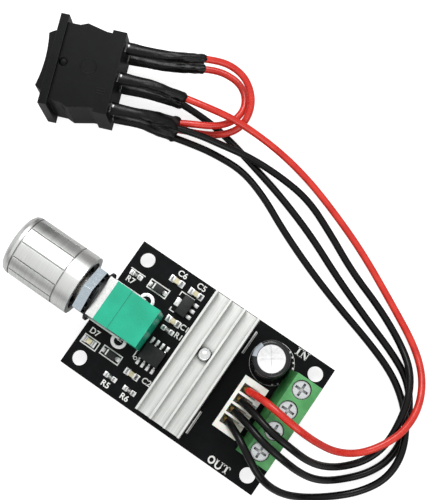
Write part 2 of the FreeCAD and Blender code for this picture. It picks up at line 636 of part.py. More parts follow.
def make_pot_fasteners():
    washer_end = pot_face - s.washer_thickness
    opening = s.bushing_radius + s.seat_gap
    flat = cut(pot_rod(washer_end, pot_face, s.washer_radius),
               pot_rod(washer_end - over, pot_face + over, opening))
    lock_end = washer_end - s.lock_thickness
    ring = cut(pot_rod(lock_end, washer_end, s.lock_radius - s.tooth_length),
               pot_rod(lock_end - over, washer_end + over, opening))
    teeth = []
    half_tooth = s.tooth_width / 2
    tooth_root = (s.bushing_radius + s.lock_radius - s.tooth_length) / 2
    for step in range(int(float(s.lock_teeth))):
        tooth = box((lock_end, -half_tooth, 0), (washer_end, half_tooth, s.lock_radius - tooth_root))
        holder = document.addObject("Part::Compound", "tooth")
        turn = turned((1, 0, 0), 360 * step / float(s.lock_teeth))
        holder.Links = [tooth]
        lift = turn.multVec(vector(0, 0, float(tooth_root)))
        holder.Placement = FreeCAD.Placement(lift + vector(0, float(s.pot_y), float(axis_z)), turn)
        teeth.append(holder)
    node("pot_washers", group(flat, fuse(ring, *teeth)))
    body = new_body("pot_nut")
    sketch = new_sketch(body, "nut_outline", "YZ_Plane")
    draw_outline(sketch, hexagon(s.nut_flats))
    draw_circle(sketch, Size(0), Size(0), opening)
    pad(body, sketch, s.nut_thickness, reverse=True)
    body.setExpression("Placement.Base.x", lock_end.text)
    body.setExpression("Placement.Base.y", s.pot_y.text)
    body.setExpression("Placement.Base.z", axis_z.text)


nut_end = pot_face - s.washer_thickness - s.lock_thickness - s.nut_thickness
knob_rear = nut_end - s.nut_to_knob
knob_front = knob_rear - s.knob_length


def make_knob_shell():
    """Turned aluminium cup, drawn as half a section and revolved about the shaft's axis."""
    body = new_body("knob_shell")
    section = new_sketch(body, "knob_section", "XZ_Plane")
    radius = s.knob_radius
    inner = radius - s.knob_wall
    length = s.knob_length
    low = radius - s.ring_depth
    ring_one = s.ring_front
    ring_two = length - s.ring_rear
    # the front edge is broken in two steps, steep first
    step_one = (s.knob_chamfer, radius - s.knob_chamfer * 0.6)
    step_two = (s.knob_chamfer * 2.4, radius)
    points = [(Size(0), Size(0)), (Size(0), radius - s.knob_chamfer * 2), step_one, step_two]
    for ring in (ring_one, ring_two):
        points += [(ring, radius), (ring, low), (ring + s.ring_width, low), (ring + s.ring_width, radius)]
    points += [(length, radius), (length, inner), (s.knob_end, inner), (s.knob_end, Size(0))]
    draw_outline(section, points)
    turned_cup = body.newObject("PartDesign::Revolution", "turned_cup")
    turned_cup.Profile = section
    turned_cup.ReferenceAxis = (section, ["H_Axis"])
    turned_cup.Angle = 360
    flute = new_sketch(body, "flute", "XZ_Plane")
    draw_rectangle(flute, ring_one, low, ring_two, radius + over)
    slot = pocket(body, flute, s.flute_width, midplane=True)
    document.recompute()
    flutes = body.newObject("PartDesign::PolarPattern", "flutes")
    flutes.Originals = [slot]
    x_axis = next(item for item in body.Origin.OriginFeatures if item.Role == "X_Axis")
    flutes.Axis = (x_axis, [""])
    flutes.Angle = 360
    flutes.Occurrences = int(float(s.flute_count))
    body.Tip = flutes
    body.setExpression("Placement.Base.x", knob_front.text)
    body.setExpression("Placement.Base.y", s.pot_y.text)
    body.setExpression("Placement.Base.z", axis_z.text)


def make_knob_core():
    start = knob_front + s.knob_end
    end = knob_rear - s.core_recess
    plug = pot_rod(start, end, s.knob_radius - s.knob_wall - s.core_fit)
    bore = pot_rod(bushing_end - s.shaft_proud, end + over, s.shaft_radius)
    mouth = pot_rod(knob_rear - s.core_mouth_depth, end + over, s.core_mouth)
    node("knob_core", cut(plug, bore, mouth))


# ---------------------------------------------------------------- small parts on the board
capacitor_places = [(-13.9, 12.7), (-8.9, 12.7), (-9.6, 5.0), (-10.5, -9.5)]
resistor_places = [(-22.1, 8.8), (-9.6, 2.75), (-14.0, -12.6), (-8.9, -12.7)]
diode_places = [(-16.5, 9.0), (-16.7, -8.6)]
lamp_place = (-22.2, -8.9)


def chips(places, length, width, height):
    return [centred_box(x, y, board_top, length, width, height) for x, y in places]


def make_small_parts():
    node("chip_capacitors", group(*chips(capacitor_places, s.chip_length, s.chip_width, s.chip_height)))
    resistor_size = (s.resistor_length, s.resistor_width, s.resistor_height)
    node("chip_resistors", group(*chips(resistor_places, *resistor_size)))
    node("power_lamp", chips([lamp_place], s.chip_length, s.chip_width, s.chip_height)[0])
    low = board_top + s.small_standoff
    diode_size = (s.diode_length, s.diode_width, s.diode_height)
    bodies = [centred_box(x, y, low, *diode_size) for x, y in diode_places]
    node("signal_diodes", group(*bodies))
    regulator_size = (s.regulator_width, s.regulator_length, s.regulator_height)
    node("regulator", centred_box(s.regulator_x, s.regulator_y, low, *regulator_size))
    # each foot starts a little inside its body's edge and lies flat on the board
    feet = []
    lap = 0.2
    for x, y in diode_places:
        for side in (-1, 1):
            foot_x = x + (s.diode_length / 2 + s.diode_foot_length / 2 - lap) * side
            feet.append(centred_box(foot_x, y, board_top, s.diode_foot_length, s.diode_foot_width,
                                    s.foot_thickness))
    foot_x = s.regulator_x + s.regulator_width / 2 + s.regulator_foot_length / 2 - lap
    for step in (-1, 0, 1):
        foot_y = s.regulator_y + s.regulator_pitch * step
        feet.append(centred_box(foot_x, foot_y, board_top, s.regulator_foot_length,
                                s.regulator_foot_width, s.foot_thickness))
    tab_x = s.regulator_x - s.regulator_width / 2 - s.regulator_tab_length / 2 + lap
    feet.append(centred_box(tab_x, s.regulator_y, board_top, s.regulator_tab_length,
                            s.regulator_tab_width, s.foot_thickness))
    node("small_package_leads", group(*feet))


def make_timer():
    low = board_top + s.small_standoff
    half = s.timer_width / 2
    timer_size = (s.timer_length, s.timer_width, s.timer_height)
    node("timer_chip", centred_box(s.timer_x, s.timer_y, low, *timer_size))
    wide = s.timer_lead
    thick = s.timer_lead_thickness
    knee_out = wide / 2 + thick / 2
    leads = []
    for side in (-1, 1):
        for step in (-1.5, -0.5, 0.5, 1.5):
            x = s.timer_x + s.timer_pitch * step
            edge = s.timer_y + half * side
            shoulder_y = edge + wide / 2 * side
            foot_y = edge + (s.timer_reach - s.timer_foot / 2) * side
            knee_y = edge + knee_out * side
            shoulder = centred_box(x, shoulder_y, low + s.timer_shoulder, wide, wide, thick)
            knee_height = s.small_standoff + s.timer_shoulder + thick
            knee = centred_box(x, knee_y, board_top, wide, thick, knee_height)
            foot = centred_box(x, foot_y, board_top, wide, s.timer_foot, thick)
            leads.append(fuse(shoulder, knee, foot))
    node("timer_chip_leads", group(*leads))


# ---------------------------------------------------------------- reversing rocker switch
# The switch is drawn in its own frame: X is its depth from the flange's front, Y its length, Z its width.
switch_height = s.table_level + s.flange_width / 2
switch_place = FreeCAD.Placement(vector(float(s.switch_x), float(s.switch_y), float(switch_height)),
                                 turned((0, 0, 1), float(s.switch_angle)))
body_end = s.flange_depth + s.body_depth
contact_axis = s.bridge_level + s.bridge_thickness


def in_switch(item):
    """Lay a piece of the switch in its place."""
    item.Placement = switch_place
    for axis, value in zip("xyz", (s.switch_x, s.switch_y, switch_height)):
        item.setExpression(f"Placement.Base.{axis}", value.text)
    item.setExpression("Placement.Rotation.Angle", s.switch_angle.text)
    return item


def make_switch_housing():
    body = new_body("switch_housing")
    outline = new_sketch(body, "housing_outline", "XY_Plane")
    half = s.body_half
    waist = half - s.waist_in
    points = [(Size(0), s.flange_length / 2), (s.flange_depth, s.flange_length / 2), (s.flange_depth, half),
              (s.flange_depth + s.wing_start, half), (s.flange_depth + s.wing_peak, half + s.wing_out),
              (s.flange_depth + s.wing_end, waist), (s.flange_depth + s.shoulder_start, waist),
              (s.flange_depth + s.shoulder_start, half + s.shoulder_out), (body_end, half + s.shoulder_out)]
    mirrored = [(x, -y) for x, y in reversed(points)]
    draw_outline(outline, points + mirrored)
    pad(body, outline, s.body_width, midplane=True)
    flange = new_sketch(body, "flange_outline", "YZ_Plane")
    half_length = s.flange_length / 2
    half_width = s.flange_width / 2
    draw_rectangle(flange, -half_length, -half_width, half_length, half_width)
    pad(body, flange, s.flange_depth)
    cavity = new_sketch(body, "housing_cavity", "YZ_Plane")
    inner = half - s.body_wall + s.plug_gap
    inner_width = s.body_width / 2 - s.body_wall
    draw_rectangle(cavity, -inner, -inner_width, inner, inner_width)
    pocket(body, cavity, body_end + over, reverse=True)
    pivot = new_sketch(body, "pivot_holes", "XY_Plane")
    draw_circle(pivot, s.pivot_depth, Size(0), s.pivot_radius + s.pivot_fit)
    pocket(body, pivot, midplane=True)
    in_switch(body)


def make_switch_base():
    half = s.body_half - s.body_wall
    half_width = s.body_width / 2 - s.body_wall - s.plug_gap
    block = box((s.base_front, -half, -half_width), (body_end, half, half_width))
    slots = []
    for row in (-1, 1):
        for step in (-1, 0, 1):
            y = s.lug_pitch * step
            z = s.lug_row * row
            slots.append(box((s.base_front - over, y - s.lug_width / 2, z - s.lug_thickness / 2),
                             (body_end + over, y + s.lug_width / 2, z + s.lug_thickness / 2)))
    node("switch_base", in_switch(cut(block, *slots)))


def make_switch_lugs():
    lugs = []
    for row in (-1, 1):
        z = s.lug_row * row
        for step in (-1, 0, 1):
            y = s.lug_pitch * step
            inner_end = s.lug_inner if step else contact_axis + s.bead_radius + s.fulcrum_gap
            blade = box((inner_end, y - s.lug_width / 2, z - s.lug_thickness / 2),
                        (s.lug_end, y + s.lug_width / 2, z + s.lug_thickness / 2))
            eye = rod(s.lug_eye_depth, y, z - over, s.lug_eye, 2 * over)
            pad_y = y - s.lug_pad_shift * step
            pad_low = (inner_end, pad_y - s.lug_pad_half, z - s.lug_pad_reach)
            pad_high = (inner_end + s.lug_pad_thickness, pad_y + s.lug_pad_half, z + s.lug_pad_reach)
            lugs.append(cut(fuse(blade, box(pad_low, pad_high)), eye))
    node("switch_lugs", in_switch(group(*lugs)))


def make_rocker():
    """Rocker with a dished face; its ends are round about the pivot."""
    pivot_x = float(s.pivot_depth)
    radius = float(s.rocker_radius)
    half = float(s.rocker_half)
    proud = -float(s.rocker_proud)
    floor = float(s.rocker_floor)
    stem = float(s.stem_half)
    tip_reach = math.sqrt(radius ** 2 - half ** 2)
    front_x = max(proud, pivot_x - tip_reach)
    skirt_y = math.sqrt(radius ** 2 - (pivot_x - floor) ** 2)
    middle = math.radians(0.5 * (math.degrees(math.atan2(half, pivot_x - front_x))
                                 + math.degrees(math.atan2(skirt_y, pivot_x - floor))))
    arc_y = radius * math.sin(middle)
    arc_x = pivot_x - radius * math.cos(middle)
    tip_y = math.sqrt(radius ** 2 - (pivot_x - front_x) ** 2)
    upper = [vector(front_x, tip_y, 0), vector(arc_x, arc_y, 0), vector(floor, skirt_y, 0)]
    lower = [vector(point.x, -point.y, 0) for point in upper]
    dish = vector(front_x + float(s.rocker_dish), 0, 0)
    stem_x = pivot_x + float(s.pivot_radius) + float(s.stem_wall)
    well_x = stem_x - float(s.plunger_well)
    edges = [Part.Arc(*upper).toShape(),
             Part.LineSegment(upper[2], vector(floor, stem, 0)).toShape(),
             Part.LineSegment(vector(floor, stem, 0), vector(stem_x, stem, 0)).toShape(),
             Part.LineSegment(vector(stem_x, stem, 0), vector(stem_x, -stem, 0)).toShape(),
             Part.LineSegment(vector(stem_x, -stem, 0), vector(floor, -stem, 0)).toShape(),
             Part.LineSegment(vector(floor, -stem, 0), lower[2]).toShape(),
             Part.Arc(*reversed(lower)).toShape(),
             Part.Arc(lower[0], dish, upper[0]).toShape()]
    width = float(s.rocker_width)
    profile = Part.Face(Part.Wire(Part.__sortEdges__(edges)))
    profile.translate(vector(0, 0, -width / 2))
    solid = profile.extrude(vector(0, 0, width))
    reach = float(s.body_width)
    pin = Part.makeCylinder(float(s.pivot_radius), reach, vector(pivot_x, 0, -reach / 2))
    solid = solid.fuse(pin)
    for row in (-1, 1):
        z = float(s.plunger_row) * row
        well_length = float(s.plunger_well) + over
        well = Part.makeCylinder(float(s.plunger_radius), well_length, vector(well_x, 0, z), vector(1, 0, 0))
        solid = solid.cut(well)
    item = feature("rocker", solid.removeSplitter())
    in_switch(item)
    plungers = []
    ball_x = s.plunger_end - s.plunger_radius
    for row in (-1, 1):
        z = s.plunger_row * row
        shank = rod(Size(well_x), 0, z, s.plunger_radius, ball_x - well_x, along_x)
        ball = document.addObject("Part::Sphere", "ball")
        bind(ball, Radius=s.plunger_radius)
        at(ball, ball_x, 0, z)
        plungers.append(fuse(shank, ball))
    node("rocker_plungers", in_switch(group(*plungers)))


def make_contact_bridges():
    bridges = []
    for row in (-1, 1):
        z = s.plunger_row * row
        plate = box((s.bridge_level, -s.bridge_half, z - s.bridge_width / 2),
                    (s.bridge_level + s.bridge_thickness, s.bridge_half, z + s.bridge_width / 2))
        bead = rod(contact_axis, 0, z - s.bridge_width / 2, s.bead_radius, s.bridge_width)
        bridges.append(fuse(plate, bead))
    node("contact_bridges", in_switch(group(*bridges)))


# ---------------------------------------------------------------- leads
# Every route starts where the wire leaves the plug or a shrink sleeve and ends in a shrink sleeve.
routes = {
    "lead_red": [(12.3, 1.45, 10.6), (15.4, 1.6, 13.4), (19.6, 1.1, 15.2), (24.8, 0.5, 14.9),
                 (29.8, 0.6, 10.6), (34.4, 1.5, 5.6), (38.6, 4.0, 3.1), (41.9, 8.4, 2.9),
                 (43.9, 13.4, 2.9), (43.9, 19.2, 2.5), (41.4, 25.2, 0.8), (36.4, 30.2, -0.8),
                 (27.4, 35.2, -1.2), (15.6, 41.3, -1.2), (4.8, 45.6, -1.2), (-4.0, 48.4, -0.9),
                 (-13.0, 49.7, 1.0), (-22.6, 49.3, 4.6), (-29.6, 47.9, 6.2), (-36.0, 46.6, 6.2)],
    "lead_black_1": [(12.3, -1.05, 10.6), (15.6, -1.6, 13.4), (20.4, -3.0, 15.2),
                     (25.6, -3.4, 14.6), (30.2, -3.5, 10.0), (34.0, -2.4, 4.6), (37.6, 0.0, 0.7),
                     (41.0, 4.0, -0.1), (42.6, 9.0, 0.8), (42.2, 14.6, 1.8), (41.0, 20.0, 2.0),
                     (38.2, 25.2, 1.0), (33.2, 29.2, -0.8), (25.6, 33.0, -1.2), (16.2, 36.4, -1.2),
                     (7.6, 40.8, -1.2), (-0.6, 44.4, -1.0), (-8.6, 45.0, 0.4), (-16.4, 44.8, 0.9),
                     (-23.4, 43.2, 2.6), (-29.0, 41.8, 4.6), (-34.1, 40.0, 5.2)],
    "lead_black_2": [(12.3, -3.55, 10.6), (15.6, -4.2, 13.4), (20.4, -5.6, 15.2),
                     (25.4, -6.2, 14.4), (30.4, -6.4, 9.6), (34.6, -5.4, 4.0), (38.4, -2.8, -0.4),
                     (42.6, 1.6, -1.2), (45.0, 6.6, -1.2), (45.0, 12.4, -1.2), (43.0, 18.2, -1.2),
                     (39.0, 23.4, -1.2), (33.0, 26.4, -1.2), (24.6, 29.4, -1.2),
                     (14.4, 33.4, -1.2), (4.4, 38.0, -1.2), (-5.6, 41.5, -1.2),
                     (-14.6, 43.9, -1.2), (-22.6, 45.9, -1.2), (-30.0, 46.9, -0.4),
                     (-36.9, 46.4, 0.9)],
    "lead_black_3": [(12.3, -6.05, 10.6), (14.8, -6.9, 13.3), (18.9, -9.2, 14.9),
                     (24.2, -12.0, 13.0), (29.2, -12.2, 8.0), (34.0, -10.2, 2.8),
                     (39.0, -6.6, 0.0), (43.4, -2.4, -0.6), (46.4, 2.8, 0.4), (46.6, 8.6, 1.0),
                     (44.2, 14.4, 0.9), (40.4, 19.0, -0.4), (35.4, 22.6, -1.1), (28.0, 25.4, -1.2),
                     (17.6, 28.4, -1.2), (7.8, 31.8, -1.2), (-1.4, 35.6, -1.2), (-9.0, 39.4, -1.2),
                     (-16.2, 41.7, -1.2), (-23.2, 41.4, -0.9), (-28.8, 40.4, -0.4),
                     (-33.9, 39.0, 0.3)],
    "jumper_1": [(-37.0, 55.7, 8.0), (-34.3, 57.3, 7.3), (-31.2, 58.5, 6.3), (-27.8, 58.5, 5.3),
                 (-25.0, 57.2, 4.5), (-22.8, 54.9, 3.6), (-21.8, 52.0, 2.6), (-22.0, 48.9, 1.5),
                 (-23.8, 46.3, 0.9), (-26.4, 44.3, 0.6), (-29.3, 42.9, 0.5), (-32.0, 41.8, 0.5),
                 (-34.5, 40.6, 0.6)],
    "jumper_2": [(-37.0, 55.4, 1.5), (-34.5, 56.9, 1.2), (-31.5, 57.7, 1.0), (-28.2, 57.6, 1.0),
                 (-25.4, 56.1, 1.2), (-23.7, 53.4, 1.6), (-23.6, 50.3, 2.2), (-24.9, 47.5, 2.9),
                 (-27.2, 45.3, 3.6), (-29.8, 43.8, 4.0), (-32.2, 42.5, 4.1), (-34.5, 41.2, 3.9)],
}


def route_path(points):
    """Straight runs joined by arcs as large as the shorter run beside each point allows."""
    corners = [vector(*point) for point in points]
    edges = []
    radii = []
    start = corners[0]
    for before, corner, after in zip(corners, corners[1:], corners[2:]):
        inward = (corner - before).normalize()
        outward = (after - corner).normalize()
        turn = inward.getAngle(outward)
        reach = 0.45 * min((corner - before).Length, (after - corner).Length)
        radius = reach / math.tan(turn / 2)
        arc_start = corner - inward * reach
        arc_end = corner + outward * reach
        bisector = (outward - inward).normalize()
        arc_middle = corner + bisector * (radius / math.cos(turn / 2) - radius)
        edges.append(Part.LineSegment(start, arc_start).toShape())
        edges.append(Part.Arc(arc_start, arc_middle, arc_end).toShape())
        radii.append(radius)
        start = arc_end
    edges.append(Part.LineSegment(start, corners[-1]).toShape())
    return Part.Wire(edges), radii


def make_leads():
    radius = float(s.wire_diameter) / 2
    for name, points in routes.items():
        path, radii = route_path(points)
        direction = vector(*points[1]) - vector(*points[0])
        section = Part.Wire(Part.makeCircle(radius, vector(*points[0]), direction))
        tube = path.makePipeShell([section], True, False)
        expected = math.pi * radius ** 2 * path.Length
        if abs(tube.Volume - expected) > 0.01 * expected:
            raise ValueError(f"{name}: the tube's volume is {tube.Volume:.1f}, not {expected:.1f}")
        feature(name, tube)
        print(f"{name}: {path.Length:.1f} mm, radii", [round(value, 1) for value in radii])


def make_lead_contacts():
    """Crimp contacts of the plug: a square socket on each pin and a barrel that holds the wire."""
    contacts = []
    half = float(s.contact_size) / 2 - float(s.seat_gap)
    hole = float(s.contact_hole) / 2
    low = float(board_top + s.header_floor + s.contact_lift)
    high = float(board_top + s.contact_top)
    roof = float(s.contact_roof)
    barrel_radius = float(s.wire_diameter / 2 - s.barrel_fit)
    barrel_length = float(s.barrel_length)
    half_neck = half * float(s.neck_share)
    for name, y in zip(("lead_red", "lead_black_1", "lead_black_2", "lead_black_3"), ways):
        x = float(s.way_x)
        y = float(y)
        socket = Part.makeBox(half * 2, half * 2, high - low, vector(x - half, y - half, low))
        well_corner = vector(x - hole, y - hole, low - over)
        well = Part.makeBox(hole * 2, hole * 2, high - low - roof + over, well_corner)
        start = vector(*routes[name][0])
        away = (vector(*routes[name][1]) - start).normalize()
        barrel = Part.makeCylinder(barrel_radius, barrel_length, start - away * barrel_length, away)
        neck_corner = vector(x - half, y - half_neck, high - 0.1)
        neck = Part.makeBox(half_neck * 2, half_neck * 2, start.z - high - roof, neck_corner)
        contacts.append(socket.cut(well).fuse([barrel, neck]).removeSplitter())
    feature("plug_contacts", Part.makeCompound(contacts))


def oval(centre, direction, across, half_across, half_up):
    """An elliptical wire square to direction, with its long way along across."""
    side = across - direction * across.dot(direction)
    side.normalize()
    up = direction.cross(side)
    ellipse = Part.Ellipse(centre + side * half_across, centre + up * half_up, centre)
    return Part.Wire(ellipse.toShape())


def make_shrink_sleeves():
    """Heat-shrink sleeves from each lug to the wire or pair of wires that is soldered to it."""
    ends = {
        (1, 1): ["jumper_1"], (1, -1): ["jumper_2"], (0, 1): ["lead_red"], (0, -1): ["lead_black_2"],
        (-1, 1): ["jumper_2", "lead_black_1"], (-1, -1): ["jumper_1", "lead_black_3"],
    }
    sleeves = []
    radius = float(s.wire_diameter) / 2
    for (step, row), names in ends.items():
        stops = []
        away = vector()
        for name in names:
            points = [vector(*point) for point in routes[name]]
            first = name.startswith("jumper") and step == 1
            stop, beside = (points[0], points[1]) if first else (points[-1], points[-2])
            stops.append(stop)
            away += (beside - stop).normalize()
        away.normalize()
        middle = (stops[0] + stops[-1]) / 2
        spread = (stops[0] - stops[-1]).Length / 2
        y = float(s.lug_pitch) * step
        z = float(s.lug_row) * row
        depth = float(s.shrink_start)
        root = switch_place.multVec(vector(depth, y, z))
        tip = switch_place.multVec(vector(float(s.lug_end + s.shrink_past_lug), y, z))
        along = switch_place.Rotation.multVec(vector(1, 0, 0))
        across = switch_place.Rotation.multVec(vector(0, 1, 0))
        bend = (tip + middle) / 2 + (along - away) * 1.2
        chord = (middle - tip).normalize()
        # the far end is an oval round one wire or a pair, always a little wider than it is high
        wall = float(s.shrink_wall)
        wide = radius + spread + wall
        side = stops[0] - stops[-1] if len(stops) > 1 else away.cross(vector(0, 0, -1))
        bend_wide = float(s.shrink_bend_wide) + spread * 0.6 + wall
        sections = [oval(root, along, across, float(s.shrink_root_wide), float(s.shrink_root_high)),
                    oval(tip, along, across, float(s.shrink_tip_wide), float(s.shrink_tip_high)),
                    oval(bend, chord, across, bend_wide, radius + wall),
                    oval(middle, away, side, wide, radius + wall - 0.05)]
        sleeve = Part.makeLoft(sections, True, True)
        half_lug = float(s.lug_width) / 2
        half_blade = float(s.lug_thickness) / 2
        blade = Part.makeBox(float(s.lug_end) - depth + over, half_lug * 2, half_blade * 2,
                             vector(depth - over, y - half_lug, z - half_blade))
        blade.Placement = switch_place.multiply(blade.Placement)
        sleeves.append(sleeve.cut(blade))
    feature("shrink_sleeves", Part.makeCompound(sleeves))


# ---------------------------------------------------------------- assembly
make_circuit_board()
make_solder_joints()
make_heatsink()
make_heatsink_screw()
make_power_transistor()
make_power_rectifier()
make_capacitor()
make_header()
make_plug()
make_terminal_block("terminal_block_in", poles[0], poles[1])
make_terminal_block("terminal_block_out", poles[2], poles[3])
make_terminal_poles()
make_potentiometer()
make_pot_rotor()
make_pot_fasteners()
make_knob_shell()
make_knob_core()
make_small_parts()
make_timer()
make_switch_housing()
make_switch_base()
make_switch_lugs()
make_rocker()
make_contact_bridges()
make_leads()
make_lead_contacts()
make_shrink_sleeves()
document.recompute()

failed = [item.Name for item in document.Objects if "Invalid" in item.State or "Error" in item.State]
if failed:
    raise ValueError(f"objects that failed to build: {failed}")
os.makedirs("parts", exist_ok=True)
for name, item in nodes.items():
    shape = item.Shape
    if shape.isNull() or not shape.isValid() or not shape.Solids:
        raise ValueError(f"{name} has no valid solid")
    shape.exportStep(f"parts/{name}.step")
    print(f"{name}: {len(shape.Solids)} solid(s), {shape.Volume:.2f} mm3")
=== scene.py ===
import bpy
import bmesh
import json
import math
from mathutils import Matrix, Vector, noise


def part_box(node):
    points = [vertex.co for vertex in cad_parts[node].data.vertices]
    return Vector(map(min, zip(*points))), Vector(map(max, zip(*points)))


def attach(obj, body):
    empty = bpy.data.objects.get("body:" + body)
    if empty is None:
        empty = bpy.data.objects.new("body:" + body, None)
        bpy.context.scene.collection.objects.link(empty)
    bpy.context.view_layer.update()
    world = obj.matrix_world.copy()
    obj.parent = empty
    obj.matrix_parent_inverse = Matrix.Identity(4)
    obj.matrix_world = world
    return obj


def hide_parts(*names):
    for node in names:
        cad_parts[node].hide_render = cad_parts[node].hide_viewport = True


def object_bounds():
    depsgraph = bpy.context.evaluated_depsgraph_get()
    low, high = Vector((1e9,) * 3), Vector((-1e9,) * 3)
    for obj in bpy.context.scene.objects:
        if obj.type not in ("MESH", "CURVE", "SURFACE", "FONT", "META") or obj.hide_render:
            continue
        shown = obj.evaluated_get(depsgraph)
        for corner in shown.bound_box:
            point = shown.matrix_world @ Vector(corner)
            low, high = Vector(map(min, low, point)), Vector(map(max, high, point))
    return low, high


# speed controller board with its knob, terminals and heatsink, and a rocker switch on four leads

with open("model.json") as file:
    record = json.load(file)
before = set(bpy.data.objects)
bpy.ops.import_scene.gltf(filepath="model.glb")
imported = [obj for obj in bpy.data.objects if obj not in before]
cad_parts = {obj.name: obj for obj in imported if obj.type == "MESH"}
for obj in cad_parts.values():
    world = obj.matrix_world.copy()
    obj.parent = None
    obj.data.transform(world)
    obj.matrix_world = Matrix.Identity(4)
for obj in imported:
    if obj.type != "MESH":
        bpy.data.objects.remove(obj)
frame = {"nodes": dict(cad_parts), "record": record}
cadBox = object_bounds()
record = frame["record"]
nodes = frame["nodes"]
mm = 0.001
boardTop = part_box("circuit_board")[1].z
tableZ = cadBox[0][2]


def linear(text):
    # sRGB hex to the linear colour that shaders take
    parts = [int(text[i:i + 2], 16) / 255 for i in (1, 3, 5)]
    return [c / 12.92 if c <= 0.04045 else ((c + 0.055) / 1.055) ** 2.4 for c in parts] + [1.0]


def addNode(tree, kind, settings=None, links=None):
    # settings are the node's own values or its sockets' values, links are {socket: (node, output)}
    node = tree.nodes.new(kind)
    for key, value in (settings or {}).items():
        if isinstance(key, str) and hasattr(node, key):
            setattr(node, key, value)
        else:
            node.inputs[key].default_value = value
    for key, (source, output) in (links or {}).items():
        tree.links.new(source.outputs[output], node.inputs[key])
    return node


def startMaterial(name, shader):
    material = bpy.data.materials.new(name)
    material.use_nodes = True
    tree = material.node_tree
    tree.nodes.clear()
    skin = addNode(tree, "ShaderNodeBsdfPrincipled", shader)
    addNode(tree, "ShaderNodeOutputMaterial", links={"Surface": (skin, 0)})
    place = addNode(tree, "ShaderNodeTexCoord")
    return material, tree, skin, place


def joinSlots(tree, source, output, target, socket):
    tree.links.new(source.outputs[output], target.inputs[socket])


def mottled(tree, pattern, dark, light, low=0.35, high=0.65):
    # a colour that goes from dark to light while the pattern goes from low to high
    share = addNode(tree, "ShaderNodeMapRange", {"From Min": low, "From Max": high}, {"Value": pattern})
    tones = {"data_type": "RGBA", 6: linear(dark), 7: linear(light)}
    return addNode(tree, "ShaderNodeMix", tones, {0: (share, 0)})


def varyGloss(tree, pattern, skin, shiny, dull, low=0.3, high=0.7):
    # the pattern takes the skin from one roughness to the other
    settings = {"From Min": low, "From Max": high, "To Min": shiny, "To Max": dull}
    share = addNode(tree, "ShaderNodeMapRange", settings, {"Value": pattern})
    joinSlots(tree, share, 0, skin, "Roughness")


def edgesWornAndHighlit(tree, colour, look):
    # rounds every sharp edge as it is lit, and lightens the colour there: partly rubbed wear, partly a
    # painted highlight
    rounded = addNode(tree, "ShaderNodeBevel", {"samples": 4, "Radius": look["edge"] * mm})
    flat = addNode(tree, "ShaderNodeNewGeometry")
    alike = addNode(tree, "ShaderNodeVectorMath", {"operation": "DOT_PRODUCT"},
                    {0: (rounded, 0), 1: (flat, "Normal")})
    bend = addNode(tree, "ShaderNodeMapRange", {"From Min": 0.995, "From Max": 0.86},
                   {"Value": (alike, "Value")})
    share = addNode(tree, "ShaderNodeMath", {"operation": "MULTIPLY", 1: look["edgeWearAndHighlightShare"]}, {0: (bend, 0)})
    edged = addNode(tree, "ShaderNodeMix", {"data_type": "RGBA", 7: linear(look["edgeWearAndHighlight"])},
                    {0: (share, 0), 6: (colour, 2)})
    return rounded, edged


def paintShadeAndDust(tree, colour, look):
    # darkens the colour in slots and corners: painted shade, with some dust
    nook = addNode(tree, "ShaderNodeAmbientOcclusion", {"samples": 6, "Distance": look["reach"] * mm})
    grey = mottled(tree, (nook, "AO"), look["cornerShadeAndDust"], "#ffffff", 0.35, 0.9)
    return addNode(tree, "ShaderNodeMix", {"data_type": "RGBA", "blend_type": "MULTIPLY", 0: 1.0},
                   {6: (colour, 2), 7: (grey, 2)})


def paint(tree, skin, look, pattern):
    # two tones, edges lightened by wear and a painted highlight, and painted shade with some dust in the
    # corners; hands back the rounded edges for the bump
    rounded, edged = edgesWornAndHighlit(tree, mottled(tree, pattern, look["dark"], look["light"]), look)
    joinSlots(tree, paintShadeAndDust(tree, edged, look), 2, skin, "Base Color")
    return rounded


def moulded(name, own):
    # moulded plastic: slight cloudiness in the colour, a fine spark-eroded grain, edges rubbed smooth and
    # lightened partly by wear and partly by a painted highlight, painted shade in the corners
    usual = {"coat": 0.0, "gloss": 0.5, "milky": 0.0, "edge": 0.12, "edgeWearAndHighlightShare": 0.35, "reach": 0.8,
             "cornerShadeAndDust": "#8c8c8c"}
    look = {**usual, **own}
    material, tree, skin, place = startMaterial(name, {
        "Roughness": look["rough"], "IOR": 1.53, "Coat Weight": look["coat"],
        "Specular IOR Level": look["gloss"], "Subsurface Weight": look["milky"],
        "Subsurface Scale": 0.4 * mm})
    cloud = addNode(tree, "ShaderNodeTexNoise", {"Scale": 1 / (look["cloud"] * mm), "Detail": 3.0},
                    {"Vector": (place, "Object")})
    grain = addNode(tree, "ShaderNodeTexNoise", {"Scale": 1 / (look["grain"] * mm), "Detail": 4.0},
                    {"Vector": (place, "Object")})
    rounded = paint(tree, skin, look, (cloud, 0))
    varyGloss(tree, (grain, 0), skin, look["rough"] - 0.06, look["rough"] + 0.08)
    bump = addNode(tree, "ShaderNodeBump", {"Strength": look["bump"], "Distance": 0.02 * mm},
                   {"Height": (grain, 0), "Normal": (rounded, 0)})
    joinSlots(tree, bump, 0, skin, "Normal")
    return material


